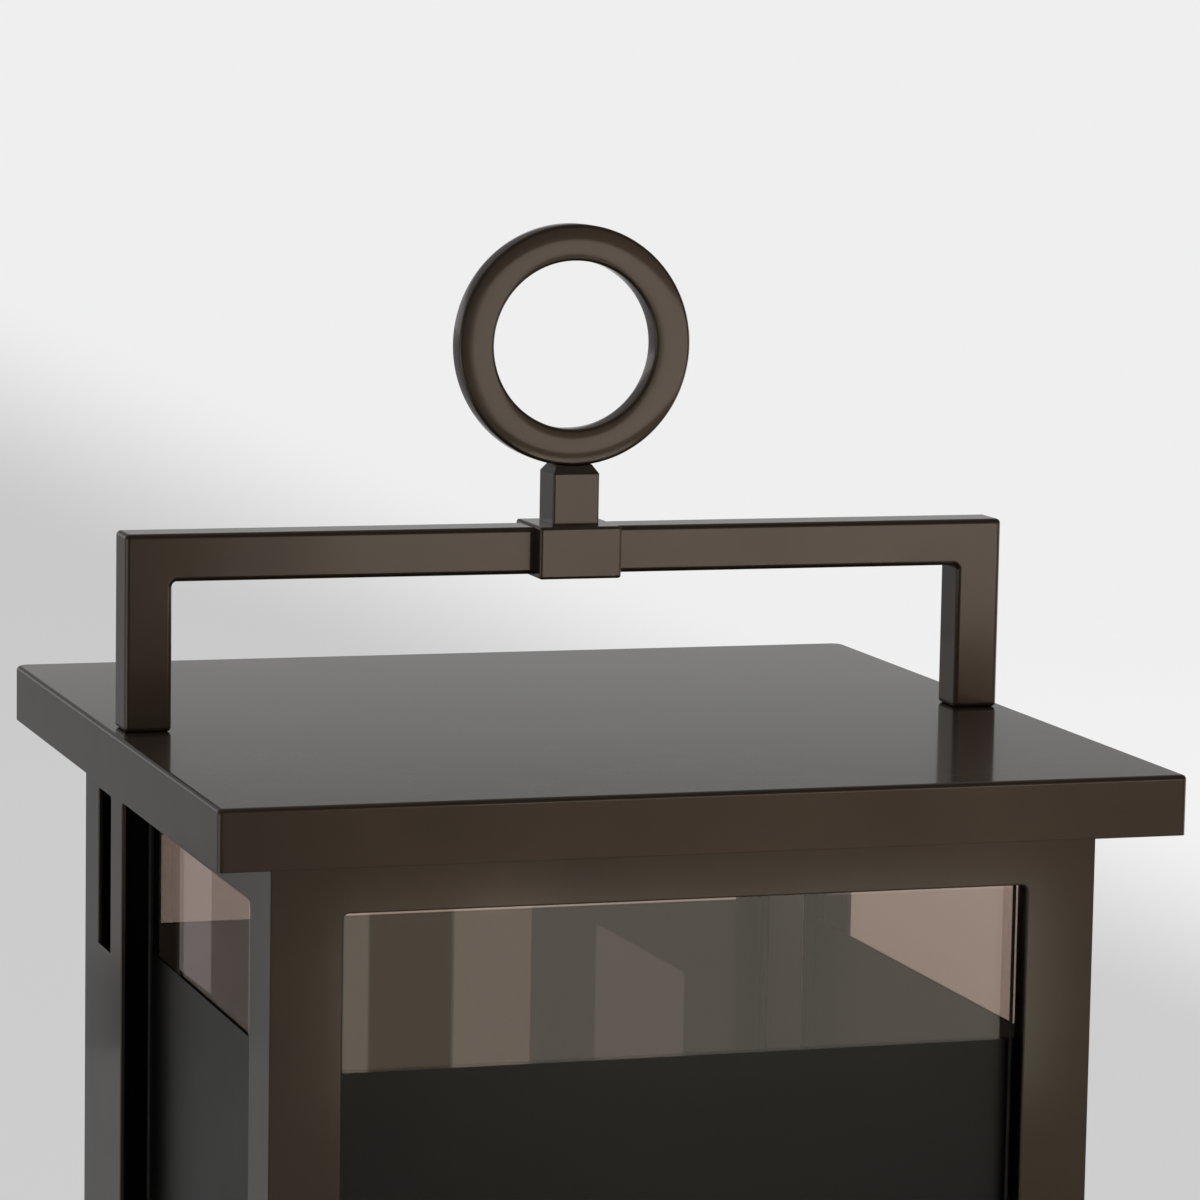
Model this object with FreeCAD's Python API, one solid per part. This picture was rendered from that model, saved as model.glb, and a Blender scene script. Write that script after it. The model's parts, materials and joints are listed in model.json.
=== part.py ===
import FreeCAD, Part
import math
import os
from collections import namedtuple

# Post top lantern: a square roof with a bail handle and a ring, a glazed square body with
# a hinged rear door, and a fitter that drops over a round post.
# Millimetres, +Z up. The origin is the centre of the fitter's open lower rim.
# The front looks along -Y, and the door is at the back.

os.makedirs("parts", exist_ok=True)

# ---------------------------------------------------------------- driving dimensions
# Roof
ROOF_SIDE = 254.0
FASCIA_HEIGHT = 15.6
ROOF_SKIN = 3.0
FASCIA_WALL = 3.0
ROOF_TOP_EDGE_R = 1.2
ROOF_FRONT_CORNER_R = 1.3
ROOF_BACK_CORNER_R = 4.0
FASCIA_LAP = 1.4            # how far the fascia hangs below the top of the walls
CEILING_THICKNESS = 2.0
ROOF_BOSS_R = 4.5
ROOF_SCREW_SPREAD = 62.0    # each way from the centre

# Body walls
BODY_SIDE = 219.0
WALL_HEIGHT = 319.0
FRONT_STILE = 18.4
FRONT_DEPTH = 8.4
SIDE_DEPTH = 8.4
SIDE_NEAR_STILE = 21.0      # measured from the body's front corner
COLUMN_WIDTH = 48.0         # the wide rear column of each side wall
COLUMN_DEPTH = 14.0         # the column stands in past the panes
TOP_RAIL = 16.1             # from the top of the walls to the window
BOTTOM_RAIL = 22.2
WINDOW_CORNER_R = 1.8
WINDOW_EDGE_R = 0.4
FACE_THICKNESS = 2.4        # the front lip of a window, before the step
WINDOW_STEP = 0.8

# Slot and hollow in each rear column
SLOT_WIDTH = 16.4
SLOT_HEIGHT = 44.7
SLOT_FROM_BACK = 17.4       # from the body's rear face to the slot
SLOT_BELOW_TOP = 16.8
SLOT_CORNER_R = 1.0
COLUMN_SKIN = 3.0
COLUMN_WEB = 9.0            # solid edge between the window and the hollow
HOLLOW_END_MARGIN = 12.0
HOLLOW_PAST_SLOT = 0.4
COLUMN_COVER_THICKNESS = 1.2
COLUMN_COVER_LAP = 2.8

# Glass
PANE_THICKNESS = 3.0
PANE_LAP = 4.5
CLEAR_PANE_BELOW_WALL_TOP = 58.2    # where the clear upper pane meets the etched lower one
GLASS_GAP = 0.3
CLIP_SHEET = 1.2
CLIP_WIDTH = 12.0
CLIP_FOOT = 8.0
CLIP_LIP = 3.6
CLIP_SPREAD = 42.0          # each way from the middle of the pane

# Rear wall and door
REAR_STILE = 10.4
REAR_TOP_RAIL = 14.8
REAR_BOTTOM_RAIL = 11.2
DOOR_POCKET = 8.4
DOOR_LIP_THICKNESS = 2.0
DOOR_LIP = 3.5
DOOR_SIDE_GAP = 1.0
DOOR_SEAT_GAP = 0.3
DOOR_STILE = 10.0
DOOR_RAIL = 16.0

# Hinges
HINGE_HEIGHTS = (50.0, 247.0)   # middle of each hinge above the bottom of the walls
HINGE_HEIGHT = 40.0
LEAF_THICKNESS = 1.5
LEAF_WIDTH = 9.6
KNUCKLE_R = 3.2
KNUCKLE_STANDOFF = 0.4
KNUCKLE_GAP = 0.4
LEAF_RELIEF = 0.5           # beyond the other leaf's knuckle
PIN_R = 1.5
PIN_FIT = 0.08
PIN_HEAD_R = 2.5
PIN_HEAD_HEIGHT = 1.2

# Latch
LATCH_EDGE_DISTANCE = 22.0  # from the door's free edge to the latch axis
LATCH_RISE = 7.0            # from the door's lower edge to the latch axis
LATCH_SHAFT_R = 2.5
LATCH_COLLAR_R = 3.7
LATCH_FIT = 0.1
LATCH_DISC_R = 7.0
LATCH_DISC_THICKNESS = 3.0
LATCH_GRIP_LENGTH = 18.0
LATCH_GRIP_WIDTH = 5.0
LATCH_GRIP_HEIGHT = 7.0
LATCH_EDGE = 0.9
CAM_THICKNESS = 2.4
CAM_WIDTH = 7.0
CAM_REACH = 14.0
CAM_CLEARANCE = 0.3
LATCH_NUT_R = 4.2
LATCH_NUT_HEIGHT = 2.6

# Base tray
TRAY_SIDE = 228.0
TRAY_HEIGHT = 15.6
TRAY_SKIN = 3.0
TRAY_WALL = 3.0
TRAY_CORNER_R = 3.0
TRAY_EDGE_R = 1.2

# Post fitter
POST_BORE_R = 38.9
POST_BORE_DEPTH = 80.0
FITTER_DROP = 76.2          # fitter length that shows below the tray
FITTER_WALL = 3.2
FLANGE_R = 58.0
FLANGE_THICKNESS = 4.0
WIRE_WAY_R = 15.0
RIM_EDGE_R = 0.8
FLANGE_SCREW_INSET = 6.0    # from the flange's rim to the axes of its four screws
BRACKET_SCREW_IN_WEB = 3.0  # the bracket's screws hold flange and cup together
SET_SCREW_ANGLES = (90.0, 210.0, 330.0)
SET_SCREW_HEIGHT = 32.0
SET_SCREW_R = 3.0
SET_SCREW_FIT = 0.1
SET_SCREW_LENGTH = 14.0
SET_SCREW_TIP_INSET = 0.2
SET_SCREW_HEAD_R = 5.2
SET_SCREW_HEAD_HEIGHT = 4.0
SET_BOSS_R = 7.0
SET_BOSS_HEIGHT = 3.0

# Lampholder and lamp
BUSHING_HOLE_R = 9.0
BUSHING_WIRE_R = 6.0
BUSHING_LIP_R = 11.5
BUSHING_LIP = 1.5
BRACKET_SHEET = 1.6
BRACKET_WIDTH = 26.0
BRACKET_TOP_HALF = 25.0
BRACKET_FOOT_HALF = 39.0
BRACKET_HEIGHT = 20.0
BRACKET_SCREW_X = 32.5
SOCKET_R = 19.5
SOCKET_HEIGHT = 44.0
SOCKET_BORE_R = 14.6
SOCKET_BORE_DEPTH = 30.0
SOCKET_RIM_CHAMFER = 1.2
SHELL_THICKNESS = 0.6
SHELL_HEIGHT = 24.0
LAMP_CAP_R = 13.15
LAMP_CAP_HEIGHT = 25.0
LAMP_CONTACT_R = 4.5
LAMP_CONTACT_HEIGHT = 2.0
LAMP_CONTACT_GAP = 0.3
LAMP_BULB_R = 30.0
LAMP_BULB_RISE = 50.0       # from the cap's top to the middle of the round bulb
LAMP_NECK_R = 13.1

# Bail handle, collar, stem and ring
BAIL_BAR = 12.7
BAIL_INSET = 3.4            # from the roof's side to the bail's outer face
BAIL_HEIGHT = 52.6
BAIL_EDGE_R = 1.3
COLLAR_SIDE = 23.0
COLLAR_BELOW_BAR = 0.9
COLLAR_ABOVE_BAR = 0.5
COLLAR_EDGE_R = 0.8
STEM_SIDE = 13.0
STEM_HEIGHT = 13.6
STEM_SHOULDER_RISE = 3.0
STEM_TOP_WIDTH = 9.2        # along the bar, where the ring sits
STEM_EDGE_R = 0.6
RING_OUTER_R = 32.5
RING_INNER_R = 22.7
RING_THICKNESS = 7.4
RING_ABOVE_STEM = 2.1       # from the stem's shoulder to the ring's lowest point
RING_CHAMFER = 0.7
STEM_BOLT_R = 2.5
STEM_BOLT_IN_STEM = 9.0
STEM_BOLT_HEAD_R = 4.2
STEM_BOLT_HEAD = 3.0
STEM_BOLT_RECESS = 3.2      # from the collar's underside up to the head's seat

# Screws
SCREW_R = 2.0
SCREW_FIT = 0.1
SCREW_HEAD_R = 3.6
SCREW_HEAD = 2.4
SCREW_IN_WALL = 8.0
WALL_SCREW_SPREAD = 62.0    # each way along a wall
ROOF_SCREW_IN_BOSS = 7.0
BAIL_SCREW_IN_LEG = 16.0

# ---------------------------------------------------------------- derived levels
BODY_HALF = BODY_SIDE / 2
ROOF_HALF = ROOF_SIDE / 2
TRAY_HALF = TRAY_SIDE / 2
TRAY_BOTTOM = FITTER_DROP
WALL_BOTTOM = TRAY_BOTTOM + TRAY_HEIGHT
WALL_TOP = WALL_BOTTOM + WALL_HEIGHT
TRAY_UNDERSIDE = WALL_BOTTOM - TRAY_SKIN
FLANGE_BOTTOM = TRAY_UNDERSIDE - FLANGE_THICKNESS
CEILING_TOP = WALL_TOP + CEILING_THICKNESS
ROOF_BOTTOM = WALL_TOP - FASCIA_LAP
ROOF_TOP = ROOF_BOTTOM + FASCIA_HEIGHT
ROOF_UNDERSIDE = ROOF_TOP - ROOF_SKIN
BAR_TOP = ROOF_TOP + BAIL_HEIGHT
BAR_BOTTOM = BAR_TOP - BAIL_BAR
BAIL_OUTER_HALF = ROOF_HALF - BAIL_INSET
COLLAR_TOP = BAR_TOP + COLLAR_ABOVE_BAR
COLLAR_BOTTOM = BAR_BOTTOM - COLLAR_BELOW_BAR
STEM_BOLT_SEAT = COLLAR_BOTTOM + STEM_BOLT_RECESS
STEM_SHOULDER = COLLAR_TOP + STEM_HEIGHT
RING_CENTRE = STEM_SHOULDER + RING_ABOVE_STEM + RING_OUTER_R
WINDOW_BOTTOM = WALL_BOTTOM + BOTTOM_RAIL
WINDOW_TOP = WALL_TOP - TOP_RAIL
PANE_JOINT = WALL_TOP - CLEAR_PANE_BELOW_WALL_TOP
DOOR_THICKNESS = DOOR_POCKET - DOOR_SEAT_GAP
DOOR_HALF = BODY_HALF - REAR_STILE - DOOR_SIDE_GAP
DOOR_BOTTOM = WALL_BOTTOM + REAR_BOTTOM_RAIL + DOOR_SIDE_GAP
DOOR_TOP = WALL_TOP - REAR_TOP_RAIL - DOOR_SIDE_GAP
HINGE_X = DOOR_HALF + DOOR_SIDE_GAP / 2
HINGE_Y = BODY_HALF + KNUCKLE_STANDOFF + KNUCKLE_R
LATCH_X = LATCH_EDGE_DISTANCE - DOOR_HALF
LATCH_Z = DOOR_BOTTOM + LATCH_RISE
BRACKET_TOP = WALL_BOTTOM + BRACKET_HEIGHT
SOCKET_FLOOR = BRACKET_TOP + SOCKET_HEIGHT - SOCKET_BORE_DEPTH
LAMP_BOTTOM = SOCKET_FLOOR + LAMP_CONTACT_GAP
CAP_TOP = LAMP_BOTTOM + LAMP_CONTACT_HEIGHT + LAMP_CAP_HEIGHT

X_AXIS = FreeCAD.Vector(1, 0, 0)
Y_AXIS = FreeCAD.Vector(0, 1, 0)
Z_AXIS = FreeCAD.Vector(0, 0, 1)
ORIGIN = FreeCAD.Vector(0, 0, 0)
PAST = 1.0                  # how far a cutting tool runs past the face it opens

# A glazed opening in the front position: u runs along the wall, z is height.
Opening = namedtuple("Opening", "u0 u1 z0 z1")


# ---------------------------------------------------------------- shape helpers
def box(x0, x1, y0, y1, z0, z1):
    """A block between two corners."""
    return Part.makeBox(x1 - x0, y1 - y0, z1 - z0, FreeCAD.Vector(x0, y0, z0))


def post(radius, z0, z1, x=0.0, y=0.0):
    """An upright cylinder."""
    return Part.makeCylinder(radius, z1 - z0, FreeCAD.Vector(x, y, z0))


def rod(radius, y0, y1, x=0.0, z=0.0):
    """A cylinder that runs front to back."""
    return Part.makeCylinder(radius, y1 - y0, FreeCAD.Vector(x, y0, z), Y_AXIS)


def prism(plan, z0, z1):
    """An upright prism over a plan outline."""
    points = [FreeCAD.Vector(x, y, z0) for x, y in plan]
    face = Part.Face(Part.makePolygon(points + points[:1]))
    return face.extrude(FreeCAD.Vector(0, 0, z1 - z0))


def fused(shapes):
    """One solid from shapes that meet."""
    whole = shapes[0]
    for shape in shapes[1:]:
        whole = whole.fuse(shape)
    return whole.removeSplitter()


def cut_all(shape, tools):
    """The shape less every tool."""
    for tool in tools:
        shape = shape.cut(tool)
    return shape


def rounded(shape, radius, test):
    """The shape with a radius on each edge that passes the test."""
    edges = [edge for edge in shape.Edges if test(edge.BoundBox)]
    return shape.makeFillet(radius, edges)


def chamfered(shape, size, test):
    """The shape with a 45 degree chamfer on each edge that passes the test."""
    edges = [edge for edge in shape.Edges if test(edge.BoundBox)]
    return shape.makeChamfer(size, edges)


def lies_at(value, low, high):
    """True when an edge's low and high extent both sit at one value."""
    return abs(low - value) < 1e-3 and abs(high - value) < 1e-3


def upright(bounds):
    """True for a vertical edge."""
    return bounds.XLength < 1e-3 and bounds.YLength < 1e-3


def turned(shape, degrees):
    """A copy turned about the lantern's vertical axis."""
    copy = shape.copy()
    copy.rotate(ORIGIN, Z_AXIS, degrees)
    return copy


def mirrored(shape):
    """A copy mirrored from the right to the left."""
    return shape.mirror(ORIGIN, X_AXIS)


def export(name, shape):
    """Write one node, after a check that its solids are sound."""
    solids = shape.Solids
    volume = sum(solid.Volume for solid in solids)
    assert solids and shape.isValid() and volume > 0, name
    shape.exportStep("parts/" + name + ".step")
    print(name, len(solids), round(volume / 1000, 2), "cm3")


# ---------------------------------------------------------------- screws
def screw_up(x, y, seat, reach, radius=SCREW_R, head_r=SCREW_HEAD_R, head=SCREW_HEAD):
    """A screw driven upwards: its head hangs under the seat."""
    return fused([post(head_r, seat - head, seat, x, y), post(radius, seat - head / 2, seat + reach, x, y)])


def screw_down(x, y, seat, reach):
    """A screw driven downwards: its head stands on the seat."""
    head = post(SCREW_HEAD_R, seat, seat + SCREW_HEAD, x, y)
    return fused([head, post(SCREW_R, seat - reach, seat + SCREW_HEAD / 2, x, y)])


def screw_hole(x, y, z0, z1, radius=SCREW_R):
    """The hole that a screw passes through."""
    return post(radius + SCREW_FIT, z0, z1, x, y)


def wall_screw_places():
    """Two screw places on the middle line of each wall's upper and lower edge."""
    front = BODY_HALF - FRONT_DEPTH / 2
    side = BODY_HALF - SIDE_DEPTH / 2
    places = []
    for spread in (-WALL_SCREW_SPREAD, WALL_SCREW_SPREAD):
        places += [(spread, -front), (spread, front), (-side, spread), (side, spread)]
    return places


def wall_screw_holes():
    """The holes for the wall screws at both ends of the walls."""
    holes = []
    for x, y in wall_screw_places():
        holes.append(screw_hole(x, y, WALL_BOTTOM - PAST, WALL_BOTTOM + SCREW_IN_WALL + SCREW_FIT))
        holes.append(screw_hole(x, y, WALL_TOP - SCREW_IN_WALL - SCREW_FIT, WALL_TOP + PAST))
    return holes


def roof_screw_places():
    """The four screws that pull the roof down on the ceiling plate."""
    spreads = (-ROOF_SCREW_SPREAD, ROOF_SCREW_SPREAD)
    return [(x, y) for x in spreads for y in spreads]


# ---------------------------------------------------------------- walls
def window_block(opening, grow, y0, y1):
    """The block that cuts a window, with small round corners."""
    block = box(opening.u0 - grow, opening.u1 + grow, y0, y1, opening.z0 - grow, opening.z1 + grow)
    return rounded(block, WINDOW_CORNER_R, lambda b: b.XLength < 1e-3 and b.ZLength < 1e-3)


def soften_window(frame, opening):
    """Take the sharp edge off a window's outer rim."""
    def on_rim(bounds):
        inside = (bounds.XMin > opening.u0 - PAST and bounds.XMax < opening.u1 + PAST
                  and bounds.ZMin > opening.z0 - PAST and bounds.ZMax < opening.z1 + PAST)
        return inside and lies_at(-BODY_HALF, bounds.YMin, bounds.YMax)
    return rounded(frame, WINDOW_EDGE_R, on_rim)


def mitred_wall(depth):
    """A full wall in the front position, with both ends cut at 45 degrees."""
    inner = BODY_HALF - depth
    plan = [(-BODY_HALF, -BODY_HALF), (BODY_HALF, -BODY_HALF), (inner, -inner), (-inner, -inner)]
    return prism(plan, WALL_BOTTOM, WALL_TOP)


def open_window(wall, opening, depth, lip=FACE_THICKNESS, step=WINDOW_STEP):
    """Cut the window and the step behind its lip, then soften the rim."""
    back = depth - BODY_HALF
    wall = wall.cut(window_block(opening, 0.0, -BODY_HALF - PAST, lip - BODY_HALF + PAST))
    wall = wall.cut(window_block(opening, step, lip - BODY_HALF, back + PAST))
    return soften_window(wall, opening)


def front_opening():
    """The front window."""
    half = BODY_HALF - FRONT_STILE
    return Opening(-half, half, WINDOW_BOTTOM, WINDOW_TOP)


def side_opening():
    """A side window, as seen on the right wall turned to the front position."""
    return Opening(SIDE_NEAR_STILE - BODY_HALF, BODY_HALF - COLUMN_WIDTH, WINDOW_BOTTOM, WINDOW_TOP)


def front_frame():
    """The front wall."""
    wall = open_window(mitred_wall(FRONT_DEPTH), front_opening(), FRONT_DEPTH)
    return cut_all(wall, wall_screw_holes())


def slot_span():
    """Where the slot lies along the side wall and in height."""
    end = BODY_HALF - SLOT_FROM_BACK
    top = WALL_TOP - SLOT_BELOW_TOP
    return Opening(end - SLOT_WIDTH, end, top - SLOT_HEIGHT, top)


def hollow_span():
    """The hollow inside the rear column, behind its outer skin."""
    start = BODY_HALF - COLUMN_WIDTH + COLUMN_WEB
    end = slot_span().u1 + HOLLOW_PAST_SLOT
    return Opening(start, end, WALL_BOTTOM + HOLLOW_END_MARGIN, WALL_TOP - HOLLOW_END_MARGIN)


def column_block():
    """The part of the rear column that stands in past the edge of the panes."""
    start = BODY_HALF - COLUMN_WIDTH + PANE_LAP + GLASS_GAP
    back = COLUMN_DEPTH - BODY_HALF
    return mitred_wall(COLUMN_DEPTH).common(box(start, BODY_HALF, -BODY_HALF, back, WALL_BOTTOM, WALL_TOP))


def right_frame():
    """The right wall: a window and a wide hollow column with a slot at the rear."""
    wall = open_window(mitred_wall(SIDE_DEPTH), side_opening(), SIDE_DEPTH)
    wall = fused([wall, column_block()])
    hollow = hollow_span()
    back = COLUMN_DEPTH - BODY_HALF
    wall = wall.cut(box(hollow.u0, hollow.u1, COLUMN_SKIN - BODY_HALF, back + PAST, hollow.z0, hollow.z1))
    slot = slot_span()
    tool = box(slot.u0, slot.u1, -BODY_HALF - PAST, COLUMN_SKIN - BODY_HALF + PAST, slot.z0, slot.z1)
    tool = rounded(tool, SLOT_CORNER_R, lambda b: b.XLength < 1e-3 and b.ZLength < 1e-3)
    wall = soften_window(wall.cut(tool), slot)
    return cut_all(turned(wall, 90), wall_screw_holes())


def right_column_cover():
    """The plate that closes the column's hollow from inside."""
    hollow = hollow_span()
    back = COLUMN_DEPTH - BODY_HALF
    lap = COLUMN_COVER_LAP
    plate = box(hollow.u0 - lap, hollow.u1 + lap, back, back + COLUMN_COVER_THICKNESS,
                hollow.z0 - lap, hollow.z1 + lap)
    return turned(plate, 90)


def rear_frame():
    """The rear wall: a surround for the door, with a lip that the door closes against."""
    half = BODY_HALF - REAR_STILE
    opening = Opening(-half, half, WALL_BOTTOM + REAR_BOTTOM_RAIL, WALL_TOP - REAR_TOP_RAIL)
    depth = DOOR_POCKET + DOOR_LIP_THICKNESS
    wall = open_window(mitred_wall(depth), opening, depth, lip=DOOR_POCKET - PAST, step=-DOOR_LIP)
    return cut_all(turned(wall, 180), wall_screw_holes())


# ---------------------------------------------------------------- door
def door_opening():
    """The window in the door."""
    half = DOOR_HALF - DOOR_STILE
    return Opening(-half, half, DOOR_BOTTOM + DOOR_RAIL, DOOR_TOP - DOOR_RAIL)


def rear_door_frame():
    """The glazed door, flush in the rear wall."""
    slab = box(-DOOR_HALF, DOOR_HALF, -BODY_HALF, DOOR_THICKNESS - BODY_HALF, DOOR_BOTTOM, DOOR_TOP)
    door = turned(open_window(slab, door_opening(), DOOR_THICKNESS), 180)
    inner = BODY_HALF - DOOR_THICKNESS
    return door.cut(rod(LATCH_SHAFT_R + LATCH_FIT, inner - PAST, BODY_HALF + PAST, LATCH_X, LATCH_Z))


def hinge_spans(middle):
    """The three knuckle spans of a hinge, from the bottom up."""
    length = (HINGE_HEIGHT - 2 * KNUCKLE_GAP) / 3
    bottom = middle - HINGE_HEIGHT / 2
    starts = [bottom + index * (length + KNUCKLE_GAP) for index in range(3)]
    return [(start, start + length) for start in starts]


def hinge_leaf(side, middle, own_spans):
    """One leaf: a plate on the rear face, with its own knuckles round the pin."""
    relief = KNUCKLE_R + LEAF_RELIEF
    near, far = sorted((HINGE_X + side * relief, HINGE_X + side * LEAF_WIDTH))
    face = BODY_HALF
    bottom = middle - HINGE_HEIGHT / 2
    pieces = [box(near, far, face, face + LEAF_THICKNESS, bottom, bottom + HINGE_HEIGHT)]
    neck_near, neck_far = sorted((HINGE_X, HINGE_X + side * relief))
    for low, high in own_spans:
        pieces.append(box(neck_near, neck_far, face + KNUCKLE_STANDOFF, face + LEAF_THICKNESS, low, high))
        pieces.append(post(KNUCKLE_R, low, high, HINGE_X, HINGE_Y))
    leaf = fused(pieces)
    return leaf.cut(post(PIN_R + PIN_FIT, middle - HINGE_HEIGHT, middle + HINGE_HEIGHT, HINGE_X, HINGE_Y))


def hinges():
    """Frame leaves, door leaves and pins of both hinges."""
    frame_leaves, door_leaves, pins = [], [], []
    for height in HINGE_HEIGHTS:
        middle = WALL_BOTTOM + height
        low, centre, high = hinge_spans(middle)
        frame_leaves.append(hinge_leaf(1, middle, [low, high]))
        door_leaves.append(hinge_leaf(-1, middle, [centre]))
        shank = post(PIN_R, low[0], high[1], HINGE_X, HINGE_Y)
        pins.append(fused([shank, post(PIN_HEAD_R, high[1], high[1] + PIN_HEAD_HEIGHT, HINGE_X, HINGE_Y)]))
    return [Part.makeCompound(group) for group in (frame_leaves, door_leaves, pins)]


def latch_levels():
    """Front-to-back places of the latch: inner and outer face of the cam, seat of the knob."""
    lip_inner = BODY_HALF - DOOR_POCKET - DOOR_LIP_THICKNESS
    cam_outer = lip_inner - CAM_CLEARANCE
    return cam_outer - CAM_THICKNESS, cam_outer, BODY_HALF + CAM_CLEARANCE


def latch_knob():
    """The thumb turn outside the door, with its shaft through the stile."""
    cam_inner, cam_outer, seat = latch_levels()
    disc = rod(LATCH_DISC_R, seat, seat + LATCH_DISC_THICKNESS, LATCH_X, LATCH_Z)
    disc = chamfered(disc, LATCH_EDGE, lambda b: lies_at(seat + LATCH_DISC_THICKNESS, b.YMin, b.YMax))
    left = LATCH_X - LATCH_GRIP_LENGTH / 2
    low = LATCH_Z - LATCH_GRIP_WIDTH / 2
    grip_top = seat + LATCH_DISC_THICKNESS + LATCH_GRIP_HEIGHT
    grip = box(left, left + LATCH_GRIP_LENGTH, seat, grip_top, low, low + LATCH_GRIP_WIDTH)
    grip = chamfered(grip, LATCH_EDGE, lambda b: lies_at(grip_top, b.YMin, b.YMax))
    door_inner = BODY_HALF - DOOR_THICKNESS
    collar = rod(LATCH_COLLAR_R, cam_outer, door_inner - CAM_CLEARANCE, LATCH_X, LATCH_Z)
    shaft = rod(LATCH_SHAFT_R, cam_inner - LATCH_NUT_HEIGHT, seat + PAST, LATCH_X, LATCH_Z)
    return fused([disc, grip, shaft, collar])


def latch_cam():
    """The cam above the rear wall's lower lip, lying level while the door is free."""
    cam_inner, cam_outer, _ = latch_levels()
    half = CAM_WIDTH / 2
    arm = box(LATCH_X, LATCH_X + CAM_REACH, cam_inner, cam_outer, LATCH_Z - half, LATCH_Z + half)
    plate = fused([arm, rod(half, cam_inner, cam_outer, LATCH_X, LATCH_Z)])
    return plate.cut(rod(LATCH_SHAFT_R, cam_inner - PAST, cam_outer + PAST, LATCH_X, LATCH_Z))


def latch_nut():
    """The six-sided nut that keeps the cam on the shaft."""
    cam_inner = latch_levels()[0]
    corners = []
    for index in range(6):
        angle = math.radians(60 * index)
        x = LATCH_X + LATCH_NUT_R * math.cos(angle)
        z = LATCH_Z + LATCH_NUT_R * math.sin(angle)
        corners.append(FreeCAD.Vector(x, cam_inner - LATCH_NUT_HEIGHT, z))
    face = Part.Face(Part.makePolygon(corners + corners[:1]))
    nut = face.extrude(FreeCAD.Vector(0, LATCH_NUT_HEIGHT, 0))
    start = cam_inner - LATCH_NUT_HEIGHT - PAST
    return nut.cut(rod(LATCH_SHAFT_R, start, cam_inner + PAST, LATCH_X, LATCH_Z))


# ---------------------------------------------------------------- glass
def pane(opening, depth, z0, z1):
    """A pane against the back of a frame, between two heights."""
    back = depth - BODY_HALF
    return box(opening.u0 - PANE_LAP, opening.u1 + PANE_LAP, back, back + PANE_THICKNESS, z0, z1)


def clear_pane(opening, depth):
    """The clear upper pane."""
    return pane(opening, depth, PANE_JOINT, opening.z1 + PANE_LAP)


def etched_pane(opening, depth):
    """The etched lower pane, edge to edge with the clear one."""
    return pane(opening, depth, opening.z0 - PANE_LAP, PANE_JOINT)


def pane_clip(middle, edge, way, back):
    """A bent clip: foot on the frame, riser past the glass edge, lip over the glass."""
    riser = edge + way * GLASS_GAP
    lip_back = back + PANE_THICKNESS + GLASS_GAP
    x0, x1 = middle - CLIP_WIDTH / 2, middle + CLIP_WIDTH / 2
    foot_z = sorted((riser, riser + way * CLIP_FOOT))
    riser_z = sorted((riser, riser + way * CLIP_SHEET))
    lip_z = sorted((riser + way * CLIP_SHEET, edge - way * CLIP_LIP))
    foot = box(x0, x1, back, back + CLIP_SHEET, foot_z[0], foot_z[1])
    wall = box(x0, x1, back, lip_back + CLIP_SHEET, riser_z[0], riser_z[1])
    lip = box(x0, x1, lip_back, lip_back + CLIP_SHEET, lip_z[0], lip_z[1])
    return fused([foot, wall, lip])


def pane_clips(opening, depth):
    """Two clips over the clear pane's top edge and two under the etched one."""
    back = depth - BODY_HALF
    centre = (opening.u0 + opening.u1) / 2
    clips = []
    for middle in (centre - CLIP_SPREAD, centre + CLIP_SPREAD):
        clips.append(pane_clip(middle, opening.z1 + PANE_LAP, 1, back))
        clips.append(pane_clip(middle, opening.z0 - PANE_LAP, -1, back))
    return Part.makeCompound(clips)


def export_glazing():
    """Panes and clips of all four sides."""
    walls = [
        ("front", front_opening(), FRONT_DEPTH, 0),
        ("right", side_opening(), SIDE_DEPTH, 90),
        ("rear", door_opening(), DOOR_THICKNESS, 180),
    ]
    makers = (("_pane", clear_pane), ("_etched_pane", etched_pane), ("_pane_clips", pane_clips))
    for wall, opening, depth, angle in walls:
        for suffix, maker in makers:
            shape = turned(maker(opening, depth), angle)
            export(wall + suffix, shape)
            if wall == "right":
                export("left" + suffix, mirrored(shape))


# ---------------------------------------------------------------- roof
def roof_cap():
    """The flat roof: a shallow cover with bosses for the screws from below."""
    half = ROOF_HALF
    roof = box(-half, half, -half, half, ROOF_BOTTOM, ROOF_TOP)
    roof = rounded(roof, ROOF_FRONT_CORNER_R, lambda b: upright(b) and b.YMax < 0)
    roof = rounded(roof, ROOF_BACK_CORNER_R, lambda b: upright(b) and b.YMin > 0 and b.ZLength > PAST)
    roof = rounded(roof, ROOF_TOP_EDGE_R, lambda b: lies_at(ROOF_TOP, b.ZMin, b.ZMax))
    inner = half - FASCIA_WALL
    roof = roof.cut(box(-inner, inner, -inner, inner, ROOF_BOTTOM - PAST, ROOF_UNDERSIDE))
    bosses = [post(ROOF_BOSS_R, CEILING_TOP, ROOF_UNDERSIDE + PAST, x, y) for x, y in roof_screw_places()]
    roof = fused([roof] + bosses)
    boss_holes = [screw_hole(x, y, CEILING_TOP - PAST, CEILING_TOP + ROOF_SCREW_IN_BOSS)
                  for x, y in roof_screw_places()]
    bail_holes = [screw_hole(x, 0, ROOF_UNDERSIDE - PAST, ROOF_TOP + PAST) for x in bail_leg_places()]
    return cut_all(roof, boss_holes + bail_holes)


def ceiling_plate():
    """The plate on top of the walls, inside the fascia."""
    half = ROOF_HALF - FASCIA_WALL - GLASS_GAP
    plate = box(-half, half, -half, half, WALL_TOP, CEILING_TOP)
    places = wall_screw_places() + roof_screw_places()
    return cut_all(plate, [screw_hole(x, y, WALL_TOP - PAST, CEILING_TOP + PAST) for x, y in places])


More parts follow.
